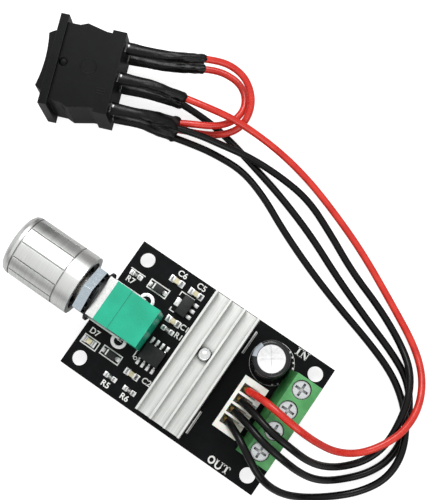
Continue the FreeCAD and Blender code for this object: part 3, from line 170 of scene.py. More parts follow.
def metal(name, own):
    # machined, drawn or plated metal: lines left by the tool, patches of duller skin, bright edges that are
    # partly rubbed and partly a painted highlight, painted shade in the corners
    look = {"edge": 0.1, "edgeWearAndHighlightShare": 0.6, "reach": 0.6, "cornerShadeAndDust": "#5a5a5a", "spread": 0.1, **own}
    material, tree, skin, place = startMaterial(name, {"Metallic": 1.0, "Roughness": look["rough"]})
    stretch = [1 / (size * mm) for size in look["lines"]]
    lined = addNode(tree, "ShaderNodeMapping", {"Scale": stretch}, {"Vector": (place, "Object")})
    lines = addNode(tree, "ShaderNodeTexNoise", {"Scale": 1.0, "Detail": 5.0, "Roughness": 0.65},
                    {"Vector": (lined, 0)})
    patches = addNode(tree, "ShaderNodeTexNoise", {"Scale": 1 / (look["patch"] * mm), "Detail": 3.0},
                      {"Vector": (place, "Object")})
    both = addNode(tree, "ShaderNodeMath", {"operation": "MULTIPLY"}, {0: (lines, 0), 1: (patches, 0)})
    rounded = paint(tree, skin, look, (lines, 0))
    varyGloss(tree, (both, 0), skin, look["rough"] - look["spread"] / 2, look["rough"] + look["spread"],
              0.12, 0.4)
    bump = addNode(tree, "ShaderNodeBump", {"Strength": look["bump"], "Distance": 0.01 * mm},
                   {"Height": (lines, 0), "Normal": (rounded, 0)})
    joinSlots(tree, bump, 0, skin, "Normal")
    return material


# edge, cloud, grain, lines and patch are sizes in millimetres; the corner tint is painted shade with some
# dust, the edge tint partly wear and partly a painted highlight
plastics = {
    # glass-filled nylon, moulded: near black with a fine grain and a dull shine
    "switchNylon": {"dark": "#030404", "light": "#080909", "edgeWearAndHighlight": "#4a4e4c", "rough": 0.38, "cloud": 3.0,
                    "grain": 0.14, "bump": 0.3, "edge": 0.24, "edgeWearAndHighlightShare": 0.6, "gloss": 0.09},
    # PBT polyester, moulded: mid green with a soft shine
    "terminalPbt": {"dark": "#42914e", "light": "#5cab66", "edgeWearAndHighlight": "#a9dcae", "rough": 0.36, "cloud": 2.5,
                    "grain": 0.16, "bump": 0.2, "edge": 0.16, "cornerShadeAndDust": "#5c6a5e", "edgeWearAndHighlightShare": 0.5},
    # PBT polyester, moulded: bright blue-green, smooth
    "controlPbt": {"dark": "#08a884", "light": "#14b893", "edgeWearAndHighlight": "#7fe0c6", "rough": 0.3, "cloud": 6.0,
                   "grain": 0.2, "bump": 0.1, "edge": 0.14, "cornerShadeAndDust": "#4e6a60", "edgeWearAndHighlightShare": 0.4},
    # nylon 66, natural: milky white that lets a little light in
    "plugNylon": {"dark": "#e2e2da", "light": "#f0f0e9", "edgeWearAndHighlight": "#ffffff", "rough": 0.42, "cloud": 2.0,
                  "grain": 0.2, "bump": 0.12, "edge": 0.1, "milky": 0.25, "cornerShadeAndDust": "#a39f90"},
    # epoxy moulding compound on chip packages: matt black, faintly speckled
    "chipEpoxy": {"dark": "#0c0d0e", "light": "#1a1c1d", "edgeWearAndHighlight": "#34373a", "rough": 0.5, "cloud": 0.8,
                  "grain": 0.07, "bump": 0.4, "edge": 0.08, "gloss": 0.4},
    # phenolic, moulded: the black core that grips the shaft
    "corePhenolic": {"dark": "#0a0b0b", "light": "#141515", "edgeWearAndHighlight": "#2c2e2e", "rough": 0.45, "cloud": 2.0,
                     "grain": 0.15, "bump": 0.25, "edge": 0.15, "gloss": 0.4},
    # rubber bung under the capacitor: soft black
    "bungRubber": {"dark": "#0e0e0f", "light": "#171718", "edgeWearAndHighlight": "#262627", "rough": 0.7, "cloud": 1.0,
                   "grain": 0.1, "bump": 0.3, "edge": 0.05, "gloss": 0.4},
    # pressed phenolic card with its carbon track: brown-black
    "trackCard": {"dark": "#2f2216", "light": "#46331f", "edgeWearAndHighlight": "#5a452e", "rough": 0.6, "cloud": 0.8,
                  "grain": 0.1, "bump": 0.2, "edge": 0.05},
    # shrunk PVC film on the capacitor: near black, glossy
    "canPvc": {"dark": "#0b0c0f", "light": "#14161a", "edgeWearAndHighlight": "#2e3238", "rough": 0.25, "cloud": 2.0,
               "grain": 0.3, "bump": 0.15, "edge": 0.2, "coat": 0.2, "gloss": 0.4},
    # the same film where its pale stripe is printed
    "canPvcStripe": {"dark": "#8f979f", "light": "#aab2ba", "edgeWearAndHighlight": "#c9ced4", "rough": 0.3, "cloud": 2.0,
                     "grain": 0.3, "bump": 0.1, "edge": 0.1, "coat": 0.2},
    # barium titanate ceramic, fired: dull cream
    "chipCeramic": {"dark": "#d3c79f", "light": "#e8dfc0", "edgeWearAndHighlight": "#f4eedb", "rough": 0.45, "cloud": 0.5,
                    "grain": 0.05, "bump": 0.2, "edge": 0.06},
    # glass glaze over a printed resistor: black and shiny
    "resistorGlaze": {"dark": "#0c0d10", "light": "#181a1e", "edgeWearAndHighlight": "#3a3d42", "rough": 0.28, "cloud": 0.4,
                      "grain": 0.06, "bump": 0.15, "edge": 0.05, "gloss": 0.4},
    # clear epoxy lens over a yellow die: creamy white
    "lampLens": {"dark": "#e8e2b4", "light": "#f6f1d4", "edgeWearAndHighlight": "#ffffff", "rough": 0.2, "cloud": 0.5,
                 "grain": 0.1, "bump": 0.1, "edge": 0.08, "milky": 0.3},
    # screen-printed epoxy ink: flat white with soft edges
    "boardInk": {"dark": "#e6e7e4", "light": "#fafaf6", "edgeWearAndHighlight": "#ffffff", "rough": 0.6, "cloud": 0.6,
                 "grain": 0.08, "bump": 0.2, "edge": 0.02, "edgeWearAndHighlightShare": 0.0, "cornerShadeAndDust": "#ffffff"},
}

# the corner tint is painted shade with some dust, the edge tint partly wear and partly a painted highlight
metals = {
    # extruded aluminium: long die lines along the bar
    "extrudedAluminium": {"dark": "#dcdedb", "light": "#eff0ed", "edgeWearAndHighlight": "#ffffff", "rough": 0.4,
                          "lines": (0.12, 9.0, 0.12), "patch": 3.0, "bump": 0.35, "edge": 0.12, "reach": 1.0,
                          "cornerShadeAndDust": "#a2a49f"},
    # turned aluminium: fine rings round the knob's axis
    "turnedAluminium": {"dark": "#dfe1de", "light": "#f8f9f7", "edgeWearAndHighlight": "#ffffff", "rough": 0.36,
                        "lines": (0.09, 14.0, 14.0), "patch": 4.0, "bump": 0.35, "edge": 0.12, "spread": 0.08,
                        "reach": 0.5, "cornerShadeAndDust": "#8e908e"},
    # zinc-plated steel: cool grey, slightly clouded
    "zincSteel": {"dark": "#d9dddf", "light": "#f6f8f8", "edgeWearAndHighlight": "#fafbfb", "rough": 0.26,
                  "lines": (0.25, 0.25, 0.6), "patch": 0.8, "bump": 0.4, "edge": 0.1, "cornerShadeAndDust": "#2c2e2f"},
    # zinc-plated steel with a blue passivation: the control's nut
    "blueZinc": {"dark": "#bfced9", "light": "#d9e4eb", "edgeWearAndHighlight": "#f6f9fb", "rough": 0.2,
                 "lines": (0.25, 0.25, 0.6), "patch": 1.2, "bump": 0.05, "edge": 0.12, "cornerShadeAndDust": "#4a5055"},
    # tinned copper alloy, stamped: pale and soft
    "tinnedCopper": {"dark": "#e2e3e1", "light": "#fafbf9", "edgeWearAndHighlight": "#ffffff", "rough": 0.34,
                     "lines": (0.2, 0.2, 0.8), "patch": 0.7, "bump": 0.3, "edge": 0.06},
    # nickel-plated brass, turned: warm grey
    "nickelBrass": {"dark": "#b6b3ac", "light": "#dad8d2", "edgeWearAndHighlight": "#f3f1ec", "rough": 0.24,
                    "lines": (0.15, 4.0, 4.0), "patch": 1.2, "bump": 0.35, "edge": 0.1},
    # phosphor bronze, stamped: dull gold
    "contactBronze": {"dark": "#a89050", "light": "#cdb577", "edgeWearAndHighlight": "#eadba6", "rough": 0.3,
                      "lines": (0.2, 0.2, 0.6), "patch": 0.6, "bump": 0.3, "edge": 0.06},
    # drawn aluminium can: satin with faint draw lines
    "drawnAluminium": {"dark": "#eceded", "light": "#fcfcfc", "edgeWearAndHighlight": "#ffffff", "rough": 0.42,
                       "lines": (0.5, 0.5, 0.08), "patch": 2.0, "bump": 0.2, "edge": 0.1, "cornerShadeAndDust": "#8a8c8e"},
    # lead-free solder, frozen from a melt: bright with soft dimples
    "frozenSolder": {"dark": "#e8e9e8", "light": "#fdfdfd", "edgeWearAndHighlight": "#ffffff", "rough": 0.38,
                     "lines": (0.35, 0.35, 0.35), "patch": 0.5, "bump": 0.4, "edge": 0.05, "cornerShadeAndDust": "#c4c4c4"},
    # blackened spring steel: the toothed lock washer
    "blackenedSteel": {"dark": "#1d1e1f", "light": "#353739", "edgeWearAndHighlight": "#8a8c8e", "rough": 0.35,
                       "lines": (0.2, 0.2, 0.4), "patch": 0.6, "bump": 0.3, "edge": 0.08},
}

skins = {name: moulded(name, look) for name, look in plastics.items()}
skins.update({name: metal(name, look) for name, look in metals.items()})

# glass cloth laminate under a screened epoxy solder mask: glossy black, a faint weave and orange peel
maskLook = {"mask": "#040506", "film": "#0b0d0f", "rough": 0.32, "ripple": 1.6, "thread": 0.45}


def solderMask():
    material, tree, skin, place = startMaterial("solderMask", {"IOR": 1.55, "Specular IOR Level": 0.1})
    peel = addNode(tree, "ShaderNodeTexNoise", {"Scale": 1 / (maskLook["ripple"] * mm), "Detail": 4.0},
                   {"Vector": (place, "Object")})
    # a wave repeats every two threads, one over and one under
    weave = [addNode(tree, "ShaderNodeTexWave",
                     {"bands_direction": way, "Scale": 0.16 / (maskLook["thread"] * mm)},
                     {"Vector": (place, "Object")}) for way in "XY"]
    cloth = addNode(tree, "ShaderNodeMath", {"operation": "MULTIPLY"}, {0: (weave[0], 1), 1: (weave[1], 1)})
    colour = mottled(tree, (peel, 0), maskLook["mask"], maskLook["film"], 0.3, 0.7)
    joinSlots(tree, colour, 2, skin, "Base Color")
    varyGloss(tree, (peel, 0), skin, maskLook["rough"] - 0.04, maskLook["rough"] + 0.08)
    height = addNode(tree, "ShaderNodeMath", {"operation": "MULTIPLY_ADD", 1: 0.25},
                     {0: (cloth, 0), 2: (peel, 0)})
    rounded = addNode(tree, "ShaderNodeBevel", {"samples": 4, "Radius": 0.08 * mm})
    bump = addNode(tree, "ShaderNodeBump", {"Strength": 0.12, "Distance": 0.03 * mm},
                   {"Height": (height, 0), "Normal": (rounded, 0)})
    joinSlots(tree, bump, 0, skin, "Normal")
    return material


# tone, fine and depth are sizes in millimetres; span is the pattern's reach, shine the two roughnesses
flexible = {
    # plasticised PVC, extruded over the wire: strong red with a soft shine, faintly wavy
    "redPvc": {"dark": "#cb2214", "light": "#dd3424", "gloss": 0.5, "ior": 1.53, "tone": 3.0, "fine": 0.35,
               "detail": 3.0, "span": (0.35, 0.65), "shine": (0.18, 0.32), "puckered": False,
               "bump": 0.25, "depth": 0.03},
    # the same in black
    "blackPvc": {"dark": "#020202", "light": "#050506", "gloss": 0.24, "ior": 1.53, "tone": 3.0, "fine": 0.35,
                 "detail": 3.0, "span": (0.35, 0.65), "shine": (0.18, 0.32), "puckered": False,
                 "bump": 0.25, "depth": 0.03},
    # polyolefin heat-shrink, drawn in by heat: satin black, puckered where it gripped
    "shrinkTube": {"dark": "#030303", "light": "#090a0a", "gloss": 0.26, "ior": 1.5, "tone": 1.2,
                   "fine": 0.22, "detail": 4.0, "span": (0.3, 0.7), "shine": (0.22, 0.42), "puckered": True,
                   "bump": 0.5, "depth": 0.08},
}


def extruded(name, look):
    # a soft skin in two tones; fine ripples, and slow waves as well where it is puckered
    shader = {"Roughness": sum(look["shine"]) / 2, "IOR": look["ior"], "Specular IOR Level": look["gloss"]}
    material, tree, skin, place = startMaterial(name, shader)
    tone, fine = [addNode(tree, "ShaderNodeTexNoise",
                          {"Scale": 1 / (look[size] * mm), "Detail": look["detail"]},
                          {"Vector": (place, "Object")}) for size in ("tone", "fine")]
    colour = mottled(tree, (tone, 0), look["dark"], look["light"], *look["span"])
    joinSlots(tree, colour, 2, skin, "Base Color")
    height = fine
    if look["puckered"]:
        height = addNode(tree, "ShaderNodeMath", {"operation": "MULTIPLY_ADD", 1: 0.3},
                         {0: (fine, 0), 2: (tone, 0)})
    varyGloss(tree, (tone if look["puckered"] else fine, 0), skin, *look["shine"])
    bump = addNode(tree, "ShaderNodeBump", {"Strength": look["bump"], "Distance": look["depth"] * mm},
                   {"Height": (height, 0)})
    joinSlots(tree, bump, 0, skin, "Normal")
    return material


skins["solderMask"] = solderMask()
skins.update({name: extruded(name, look) for name, look in flexible.items()})
print("finishes made")

finishOf = {
    "board_laminate": "solderMask", "solder": "frozenSolder", "extruded_aluminium": "extrudedAluminium",
    "turned_aluminium": "turnedAluminium", "zinc_steel": "zincSteel", "tinned_copper": "tinnedCopper",
    "black_mould": "chipEpoxy", "green_block": "terminalPbt", "pot_green": "controlPbt",
    "white_nylon": "plugNylon", "brass_contact": "contactBronze", "nickel_brass": "nickelBrass",
    "can_aluminium": "drawnAluminium", "black_film": "canPvc", "black_rubber": "bungRubber",
    "ceramic_chip": "chipCeramic", "resistor_chip": "resistorGlaze", "lamp_lens": "lampLens",
    "pot_track_card": "trackCard", "switch_black": "switchNylon", "red_insulation": "redPvc",
    "black_insulation": "blackPvc", "shrink_black": "shrinkTube",
}
for subpart in record["subparts"]:
    mesh = nodes[subpart["node"]].data
    mesh.materials.clear()
    mesh.materials.append(skins[finishOf[subpart["material_slot"]]])
nodes["knob_core"].data.materials[0] = skins["corePhenolic"]
nodes["pot_nut"].data.materials[0] = skins["blueZinc"]
nodes["pot_washers"].data.materials[0] = skins["blackenedSteel"]


def islands(node):
    # the boxes of a node's separate solids, as (lowest corner, highest corner)
    work = bmesh.new()
    work.from_mesh(nodes[node].data)
    bmesh.ops.remove_doubles(work, verts=work.verts, dist=1e-7)
    left = set(work.verts)
    boxes = []
    while left:
        stack = [left.pop()]
        found = []
        while stack:
            vert = stack.pop()
            found.append(vert.co.copy())
            for edge in vert.link_edges:
                other = edge.other_vert(vert)
                if other in left:
                    left.remove(other)
                    stack.append(other)
        low = Vector([min(p[i] for p in found) for i in range(3)])
        high = Vector([max(p[i] for p in found) for i in range(3)])
        boxes.append((low, high))
    work.free()
    return sorted(boxes, key=lambda box: (round(box[0].x, 5), round(box[0].y, 5)))


def block(low, high, radius, segments=2):
    # a block with rounded edges, as (points, faces)
    work = bmesh.new()
    bmesh.ops.create_cube(work, size=1)
    size = [high[i] - low[i] for i in range(3)]
    for vert in work.verts:
        vert.co = Vector([low[i] + (vert.co[i] + 0.5) * size[i] for i in range(3)])
    radius = min(radius, min(size) * 0.45)
    bmesh.ops.bevel(work, geom=work.edges[:], offset=radius, segments=segments, affect="EDGES", profile=0.5)
    work.verts.index_update()
    result = ([v.co.copy() for v in work.verts], [[v.index for v in f.verts] for f in work.faces])
    work.free()
    return result


def wrapRows(rows, sides, closed=False):
    # the faces between rings of points that follow each other; closed joins the last ring to the first
    faces = []
    for row in range(rows if closed else rows - 1):
        start = row * sides
        end = (row + 1) % rows * sides
        for k in range(sides):
            after = (k + 1) % sides
            faces.append([start + k, start + after, end + after, end + k])
    return faces


def lathe(profile, centre, axis=(0, 0, 1), steps=40, closed=False):
    # a turned shape: the profile is (radius, height) from one end to the other
    turn = Vector((0, 0, 1)).rotation_difference(Vector(axis))
    points = []
    for radius, height in profile:
        for step in range(steps):
            angle = 2 * math.pi * step / steps
            spot = Vector((radius * math.cos(angle), radius * math.sin(angle), height))
            points.append(turn @ spot + Vector(centre))
    faces = wrapRows(len(profile), steps, closed)
    if closed:
        return points, faces
    if profile[0][0] > 0:
        faces.append(list(range(steps))[::-1])
    if profile[-1][0] > 0:
        faces.append([(len(profile) - 1) * steps + step for step in range(steps)])
    return points, faces


def strip(path, thickness, across):
    # a bent flat strip: path is its middle line, across the vector from one edge to the other
    across = Vector(across)
    rows = []
    for i, spot in enumerate(path):
        before = Vector(path[max(i - 1, 0)])
        after = Vector(path[min(i + 1, len(path) - 1)])
        along = (after - before).normalized()
        up = across.cross(along).normalized() * thickness / 2
        left = Vector(spot) - across / 2
        right = Vector(spot) + across / 2
        rows.append([left - up, right - up, right + up, left + up])
    points = [p for row in rows for p in row]
    ends = [[3, 2, 1, 0], [len(points) - 4 + k for k in range(4)]]
    return points, ends + wrapRows(len(rows), 4)


def piece(name, parts, body="board", replaced=(), angle=40):
    # parts are ((points, faces), finish); they become one object that rides on a body
    mesh = bpy.data.meshes.new(name)
    points = []
    faces = []
    kinds = []
    used = []
    for (partPoints, partFaces), finish in parts:
        if finish not in used:
            used.append(finish)
        start = len(points)
        points += [tuple(p) for p in partPoints]
        faces += [[start + i for i in face] for face in partFaces]
        kinds += [used.index(finish)] * len(partFaces)
    mesh.from_pydata(points, [], faces)
    for finish in used:
        mesh.materials.append(skins[finish])
    mesh.polygons.foreach_set("material_index", kinds)
    work = bmesh.new()
    work.from_mesh(mesh)
    bmesh.ops.recalc_face_normals(work, faces=work.faces)
    work.to_mesh(mesh)
    work.free()
    mesh.shade_smooth()
    mesh.set_sharp_from_angle(angle=math.radians(angle))
    thing = bpy.data.objects.new(name, mesh)
    bpy.context.scene.collection.objects.link(thing)
    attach(thing, body)
    if replaced:
        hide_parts(*replaced)
    return thing


viewer = {"place": (0.01578, -0.00905, 0.25133), "turn": (9.484, 3.133, 34.757), "lens": 83.16, "shift": 0.09}
camera = bpy.data.objects.new("camera", bpy.data.cameras.new("camera"))
bpy.context.scene.collection.objects.link(camera)
camera.location = viewer["place"]
camera.rotation_euler = [math.radians(a) for a in viewer["turn"]]
camera.data.lens = viewer["lens"]
camera.data.sensor_width = 36
camera.data.shift_x = viewer["shift"]
camera.data.clip_start = 0.01
camera.data.clip_end = 20
bpy.context.scene.camera = camera

lamps = {
    # shine is how strongly the lamp shows in glossy skins
    "lampKey": {"place": (-0.16, 0.22, 0.34), "size": 0.22, "watts": 0.8, "shine": 1.3},
    "lampFill": {"place": (0.26, -0.18, 0.30), "size": 0.30, "watts": 0.35, "shine": 1.3},
}
aim = Vector((0.0, 0.015, 0.0))
for lampName, look in lamps.items():
    light = bpy.data.lights.new(lampName, "AREA")
    light.shape = "DISK"
    light.size = look["size"]
    light.energy = look["watts"]
    light.specular_factor = look["shine"]
    lamp = bpy.data.objects.new(lampName, light)
    lamp.location = look["place"]
    lamp.rotation_euler = (aim - Vector(look["place"])).to_track_quat("-Z", "Y").to_euler()
    bpy.context.scene.collection.objects.link(lamp)

studio = {"low": "#121314", "high": "#ffffff", "start": 0.06, "full": 0.5, "strength": 0.78}


def lightStudio():
    # a tent, nearly black near the table and white well above it; the camera itself sees plain white
    world = bpy.data.worlds.new("studio")
    bpy.context.scene.world = world
    world.use_nodes = True
    tree = world.node_tree
    tree.nodes.clear()
    place = addNode(tree, "ShaderNodeTexCoord")
    height = addNode(tree, "ShaderNodeSeparateXYZ", links={0: (place, "Generated")})
    tent = mottled(tree, (height, "Z"), studio["low"], studio["high"], studio["start"], studio["full"])
    glow = addNode(tree, "ShaderNodeBackground", {"Strength": studio["strength"]}, {"Color": (tent, 2)})
    white = addNode(tree, "ShaderNodeBackground", {"Color": (1, 1, 1, 1), "Strength": 1.0})
    ray = addNode(tree, "ShaderNodeLightPath")
    mixed = addNode(tree, "ShaderNodeMixShader",
                    links={0: (ray, "Is Camera Ray"), 1: (glow, 0), 2: (white, 0)})
    addNode(tree, "ShaderNodeOutputWorld", links={"Surface": (mixed, 0)})


lightStudio()
bpy.context.scene.view_settings.view_transform = "Standard"

sheet = {"dark": "#c6c6c6", "light": "#cecece", "fibre": 0.6, "rough": 0.9, "lift": 0.77, "reach": 3.0}


def layFloor():
    # wood-pulp paper, pressed smooth: pale grey, lifted towards white as it is seen, with its shadow kept
    material, tree, paper, place = startMaterial("paperSheet", {"Roughness": sheet["rough"]})
    fibre = addNode(tree, "ShaderNodeTexNoise", {"Scale": 1 / (sheet["fibre"] * mm), "Detail": 3.0},
                    {"Vector": (place, "Object")})
    tone = mottled(tree, (fibre, 0), sheet["dark"], sheet["light"], 0.0, 1.0)
    joinSlots(tree, tone, 2, paper, "Base Color")
    lift = addNode(tree, "ShaderNodeEmission", {"Color": (1, 1, 1, 1), "Strength": sheet["lift"]})
    nothing = addNode(tree, "ShaderNodeEmission", {"Strength": 0.0})
    ray = addNode(tree, "ShaderNodeLightPath")
    seen = addNode(tree, "ShaderNodeMixShader",
                   links={0: (ray, "Is Camera Ray"), 1: (nothing, 0), 2: (lift, 0)})
    both = addNode(tree, "ShaderNodeAddShader", links={0: (paper, 0), 1: (seen, 0)})
    joinSlots(tree, both, 0, tree.get_output_node("ALL"), "Surface")
    reach = sheet["reach"]
    mesh = bpy.data.meshes.new("floor")
    corners = [(x * reach, y * reach, tableZ) for x, y in ((-1, -1), (1, -1), (1, 1), (-1, 1))]
    mesh.from_pydata(corners, [], [[0, 1, 2, 3]])
    mesh.materials.append(material)
    floor = bpy.data.objects.new("floor", mesh)
    bpy.context.scene.collection.objects.link(floor)


layFloor()
print("camera, lamps and floor set")

leads = {
    "lead_red": {"finish": "redPvc", "length": 140.5, "route": [
        (12.3, 1.45, 10.6), (15.4, 1.6, 13.4), (19.6, 1.1, 15.2), (24.8, 0.5, 14.9), (29.8, 0.6, 10.6),
        (34.4, 1.5, 5.6), (38.6, 4.0, 3.1), (41.9, 8.4, 2.9), (43.9, 13.4, 2.9), (43.9, 19.2, 2.5),
        (41.4, 25.2, 0.8), (36.4, 30.2, -0.8), (27.4, 35.2, -1.2), (15.6, 41.3, -1.2), (4.8, 45.6, -1.2),
        (-4.0, 48.4, -0.9), (-13.0, 49.7, 1.0), (-22.6, 49.3, 4.6), (-29.6, 47.9, 6.2), (-36.0, 46.6, 6.2)]},
    "lead_black_1": {"finish": "blackPvc", "length": 139.4, "route": [
        (12.3, -1.05, 10.6), (15.6, -1.6, 13.4), (20.4, -3.0, 15.2), (25.6, -3.4, 14.6), (30.2, -3.5, 10.0),
        (34.0, -2.4, 4.6), (37.6, 0.0, 0.7), (41.0, 4.0, -0.1), (42.6, 9.0, 0.8), (42.2, 14.6, 1.8),
        (41.0, 20.0, 2.0), (38.2, 25.2, 1.0), (33.2, 29.2, -0.8), (25.6, 33.0, -1.2), (16.2, 36.4, -1.2),
        (7.6, 40.8, -1.2), (-0.6, 44.4, -1.0), (-8.6, 45.0, 0.4), (-16.4, 44.8, 0.9), (-23.4, 43.2, 2.6),
        (-29.0, 41.8, 4.6), (-34.1, 40.0, 5.2)]},
    "lead_black_2": {"finish": "blackPvc", "length": 144.7, "route": [
        (12.3, -3.55, 10.6), (15.6, -4.2, 13.4), (20.4, -5.6, 15.2), (25.4, -6.2, 14.4), (30.4, -6.4, 9.6),
        (34.6, -5.4, 4.0), (38.4, -2.8, -0.4), (42.6, 1.6, -1.2), (45.0, 6.6, -1.2), (45.0, 12.4, -1.2),
        (43.0, 18.2, -1.2), (39.0, 23.4, -1.2), (33.0, 26.4, -1.2), (24.6, 29.4, -1.2), (14.4, 33.4, -1.2),
        (4.4, 38.0, -1.2), (-5.6, 41.5, -1.2), (-14.6, 43.9, -1.2), (-22.6, 45.9, -1.2), (-30.0, 46.9, -0.4),
        (-36.9, 46.4, 0.9)]},
    "lead_black_3": {"finish": "blackPvc", "length": 144.9, "route": [
        (12.3, -6.05, 10.6), (14.8, -6.9, 13.3), (18.9, -9.2, 14.9), (24.2, -12.0, 13.0), (29.2, -12.2, 8.0),
        (34.0, -10.2, 2.8), (39.0, -6.6, 0.0), (43.4, -2.4, -0.6), (46.4, 2.8, 0.4), (46.6, 8.6, 1.0),
        (44.2, 14.4, 0.9), (40.4, 19.0, -0.4), (35.4, 22.6, -1.1), (28.0, 25.4, -1.2), (17.6, 28.4, -1.2),
        (7.8, 31.8, -1.2), (-1.4, 35.6, -1.2), (-9.0, 39.4, -1.2), (-16.2, 41.7, -1.2), (-23.2, 41.4, -0.9),
        (-28.8, 40.4, -0.4), (-33.9, 39.0, 0.3)]},
    "jumper_1": {"finish": "redPvc", "length": 38.4, "route": [
        (-37.0, 55.7, 8.0), (-34.3, 57.3, 7.3), (-31.2, 58.5, 6.3), (-27.8, 58.5, 5.3), (-25.0, 57.2, 4.5),
        (-22.8, 54.9, 3.6), (-21.8, 52.0, 2.6), (-22.0, 48.9, 1.5), (-23.8, 46.3, 0.9), (-26.4, 44.3, 0.6),
        (-29.3, 42.9, 0.5), (-32.0, 41.8, 0.5), (-34.5, 40.6, 0.6)]},
    "jumper_2": {"finish": "redPvc", "length": 33.4, "route": [
        (-37.0, 55.4, 1.5), (-34.5, 56.9, 1.2), (-31.5, 57.7, 1.0), (-28.2, 57.6, 1.0), (-25.4, 56.1, 1.2),
        (-23.7, 53.4, 1.6), (-23.6, 50.3, 2.2), (-24.9, 47.5, 2.9), (-27.2, 45.3, 3.6), (-29.8, 43.8, 4.0),
        (-32.2, 42.5, 4.1), (-34.5, 41.2, 3.9)]},
}
wireDiameter = 1.6 * mm


def layLead(name, lead):
    curve = bpy.data.curves.new(name + "_wire", "CURVE")
    curve.dimensions = "3D"
    spline = curve.splines.new("NURBS")
    spline.points.add(len(lead["route"]) - 1)
    for point, spot in zip(spline.points, lead["route"]):
        point.co = (*[v * mm for v in spot], 1)
    spline.order_u = 3
    spline.use_endpoint_u = True
    curve.resolution_u = 10
    curve.bevel_depth = wireDiameter / 2
    curve.bevel_resolution = 6
    curve.use_fill_caps = True
    curve.materials.append(skins[lead["finish"]])
    wire = bpy.data.objects.new(name + "_wire", curve)
    bpy.context.scene.collection.objects.link(wire)
    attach(wire, "board")
    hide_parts(name)


for name, lead in leads.items():
    layLead(name, lead)
print("leads laid")

switchMount = next(m for m in record["mounts"] if m["name"] == "switch_panel")
deep = -Vector(switchMount["axis"])
wide = Vector((-deep.y, deep.x, 0))
flangeDepth = 1.9
switchFace = Vector(switchMount["pos_m"]) - deep * flangeDepth * mm


def inSwitch(depth, side, height):
    # a point of the switch, in millimetres from the middle of its flange's face
    return switchFace + deep * depth * mm + wide * side * mm + Vector((0, 0, height * mm))


sleeves = [
    # the lug's side and height, the leads that go in, and whether they start there or end there
    (7.0, 3.5, ["jumper_1"], True), (7.0, -3.5, ["jumper_2"], True), (0.0, 3.5, ["lead_red"], False),
    (0.0, -3.5, ["lead_black_2"], False), (-7.0, 3.5, ["jumper_2", "lead_black_1"], False),
    (-7.0, -3.5, ["jumper_1", "lead_black_3"], False),
]
# millimetres; overBlade and overSolder are half the sleeve's width and height there
sleeveLook = {"start": 15.3, "pastLug": 21.2, "wall": 0.33, "pucker": 0.2, "rings": 64, "sides": 32,
              "overBlade": (1.42, 0.82), "overSolder": (1.25, 0.92)}
bead = {"depth": 15.6, "side": 0.35, "up": 0.74,
        "profile": [(0.0, 0.16), (0.24, 0.12), (0.4, 0.0), (0.3, -0.1), (0.0, -0.12)]}


def smooth(t):
    t = min(max(t, 0), 1)
    return t * t * (3 - 2 * t)


def onSleeve(root, tip, end, away, reach):
    # the middle of a sleeve and its direction: straight over the lug, then an easy curve to the wires
    straight = (tip - root).length
    if reach <= straight:
        return root + deep * reach, deep
    curved = (end - tip).length
    t = (reach - straight) / curved
    pull = curved * 0.9
    spot = (tip * (2 * t ** 3 - 3 * t * t + 1) + deep * pull * (t ** 3 - 2 * t * t + t)
            + end * (3 * t * t - 2 * t ** 3) - away * pull * (t ** 3 - t * t))
    along = ((end - tip) * (6 * t - 6 * t * t) + deep * pull * (3 * t * t - 4 * t + 1)
             - away * pull * (3 * t * t - 2 * t))
    return spot, along.normalized()


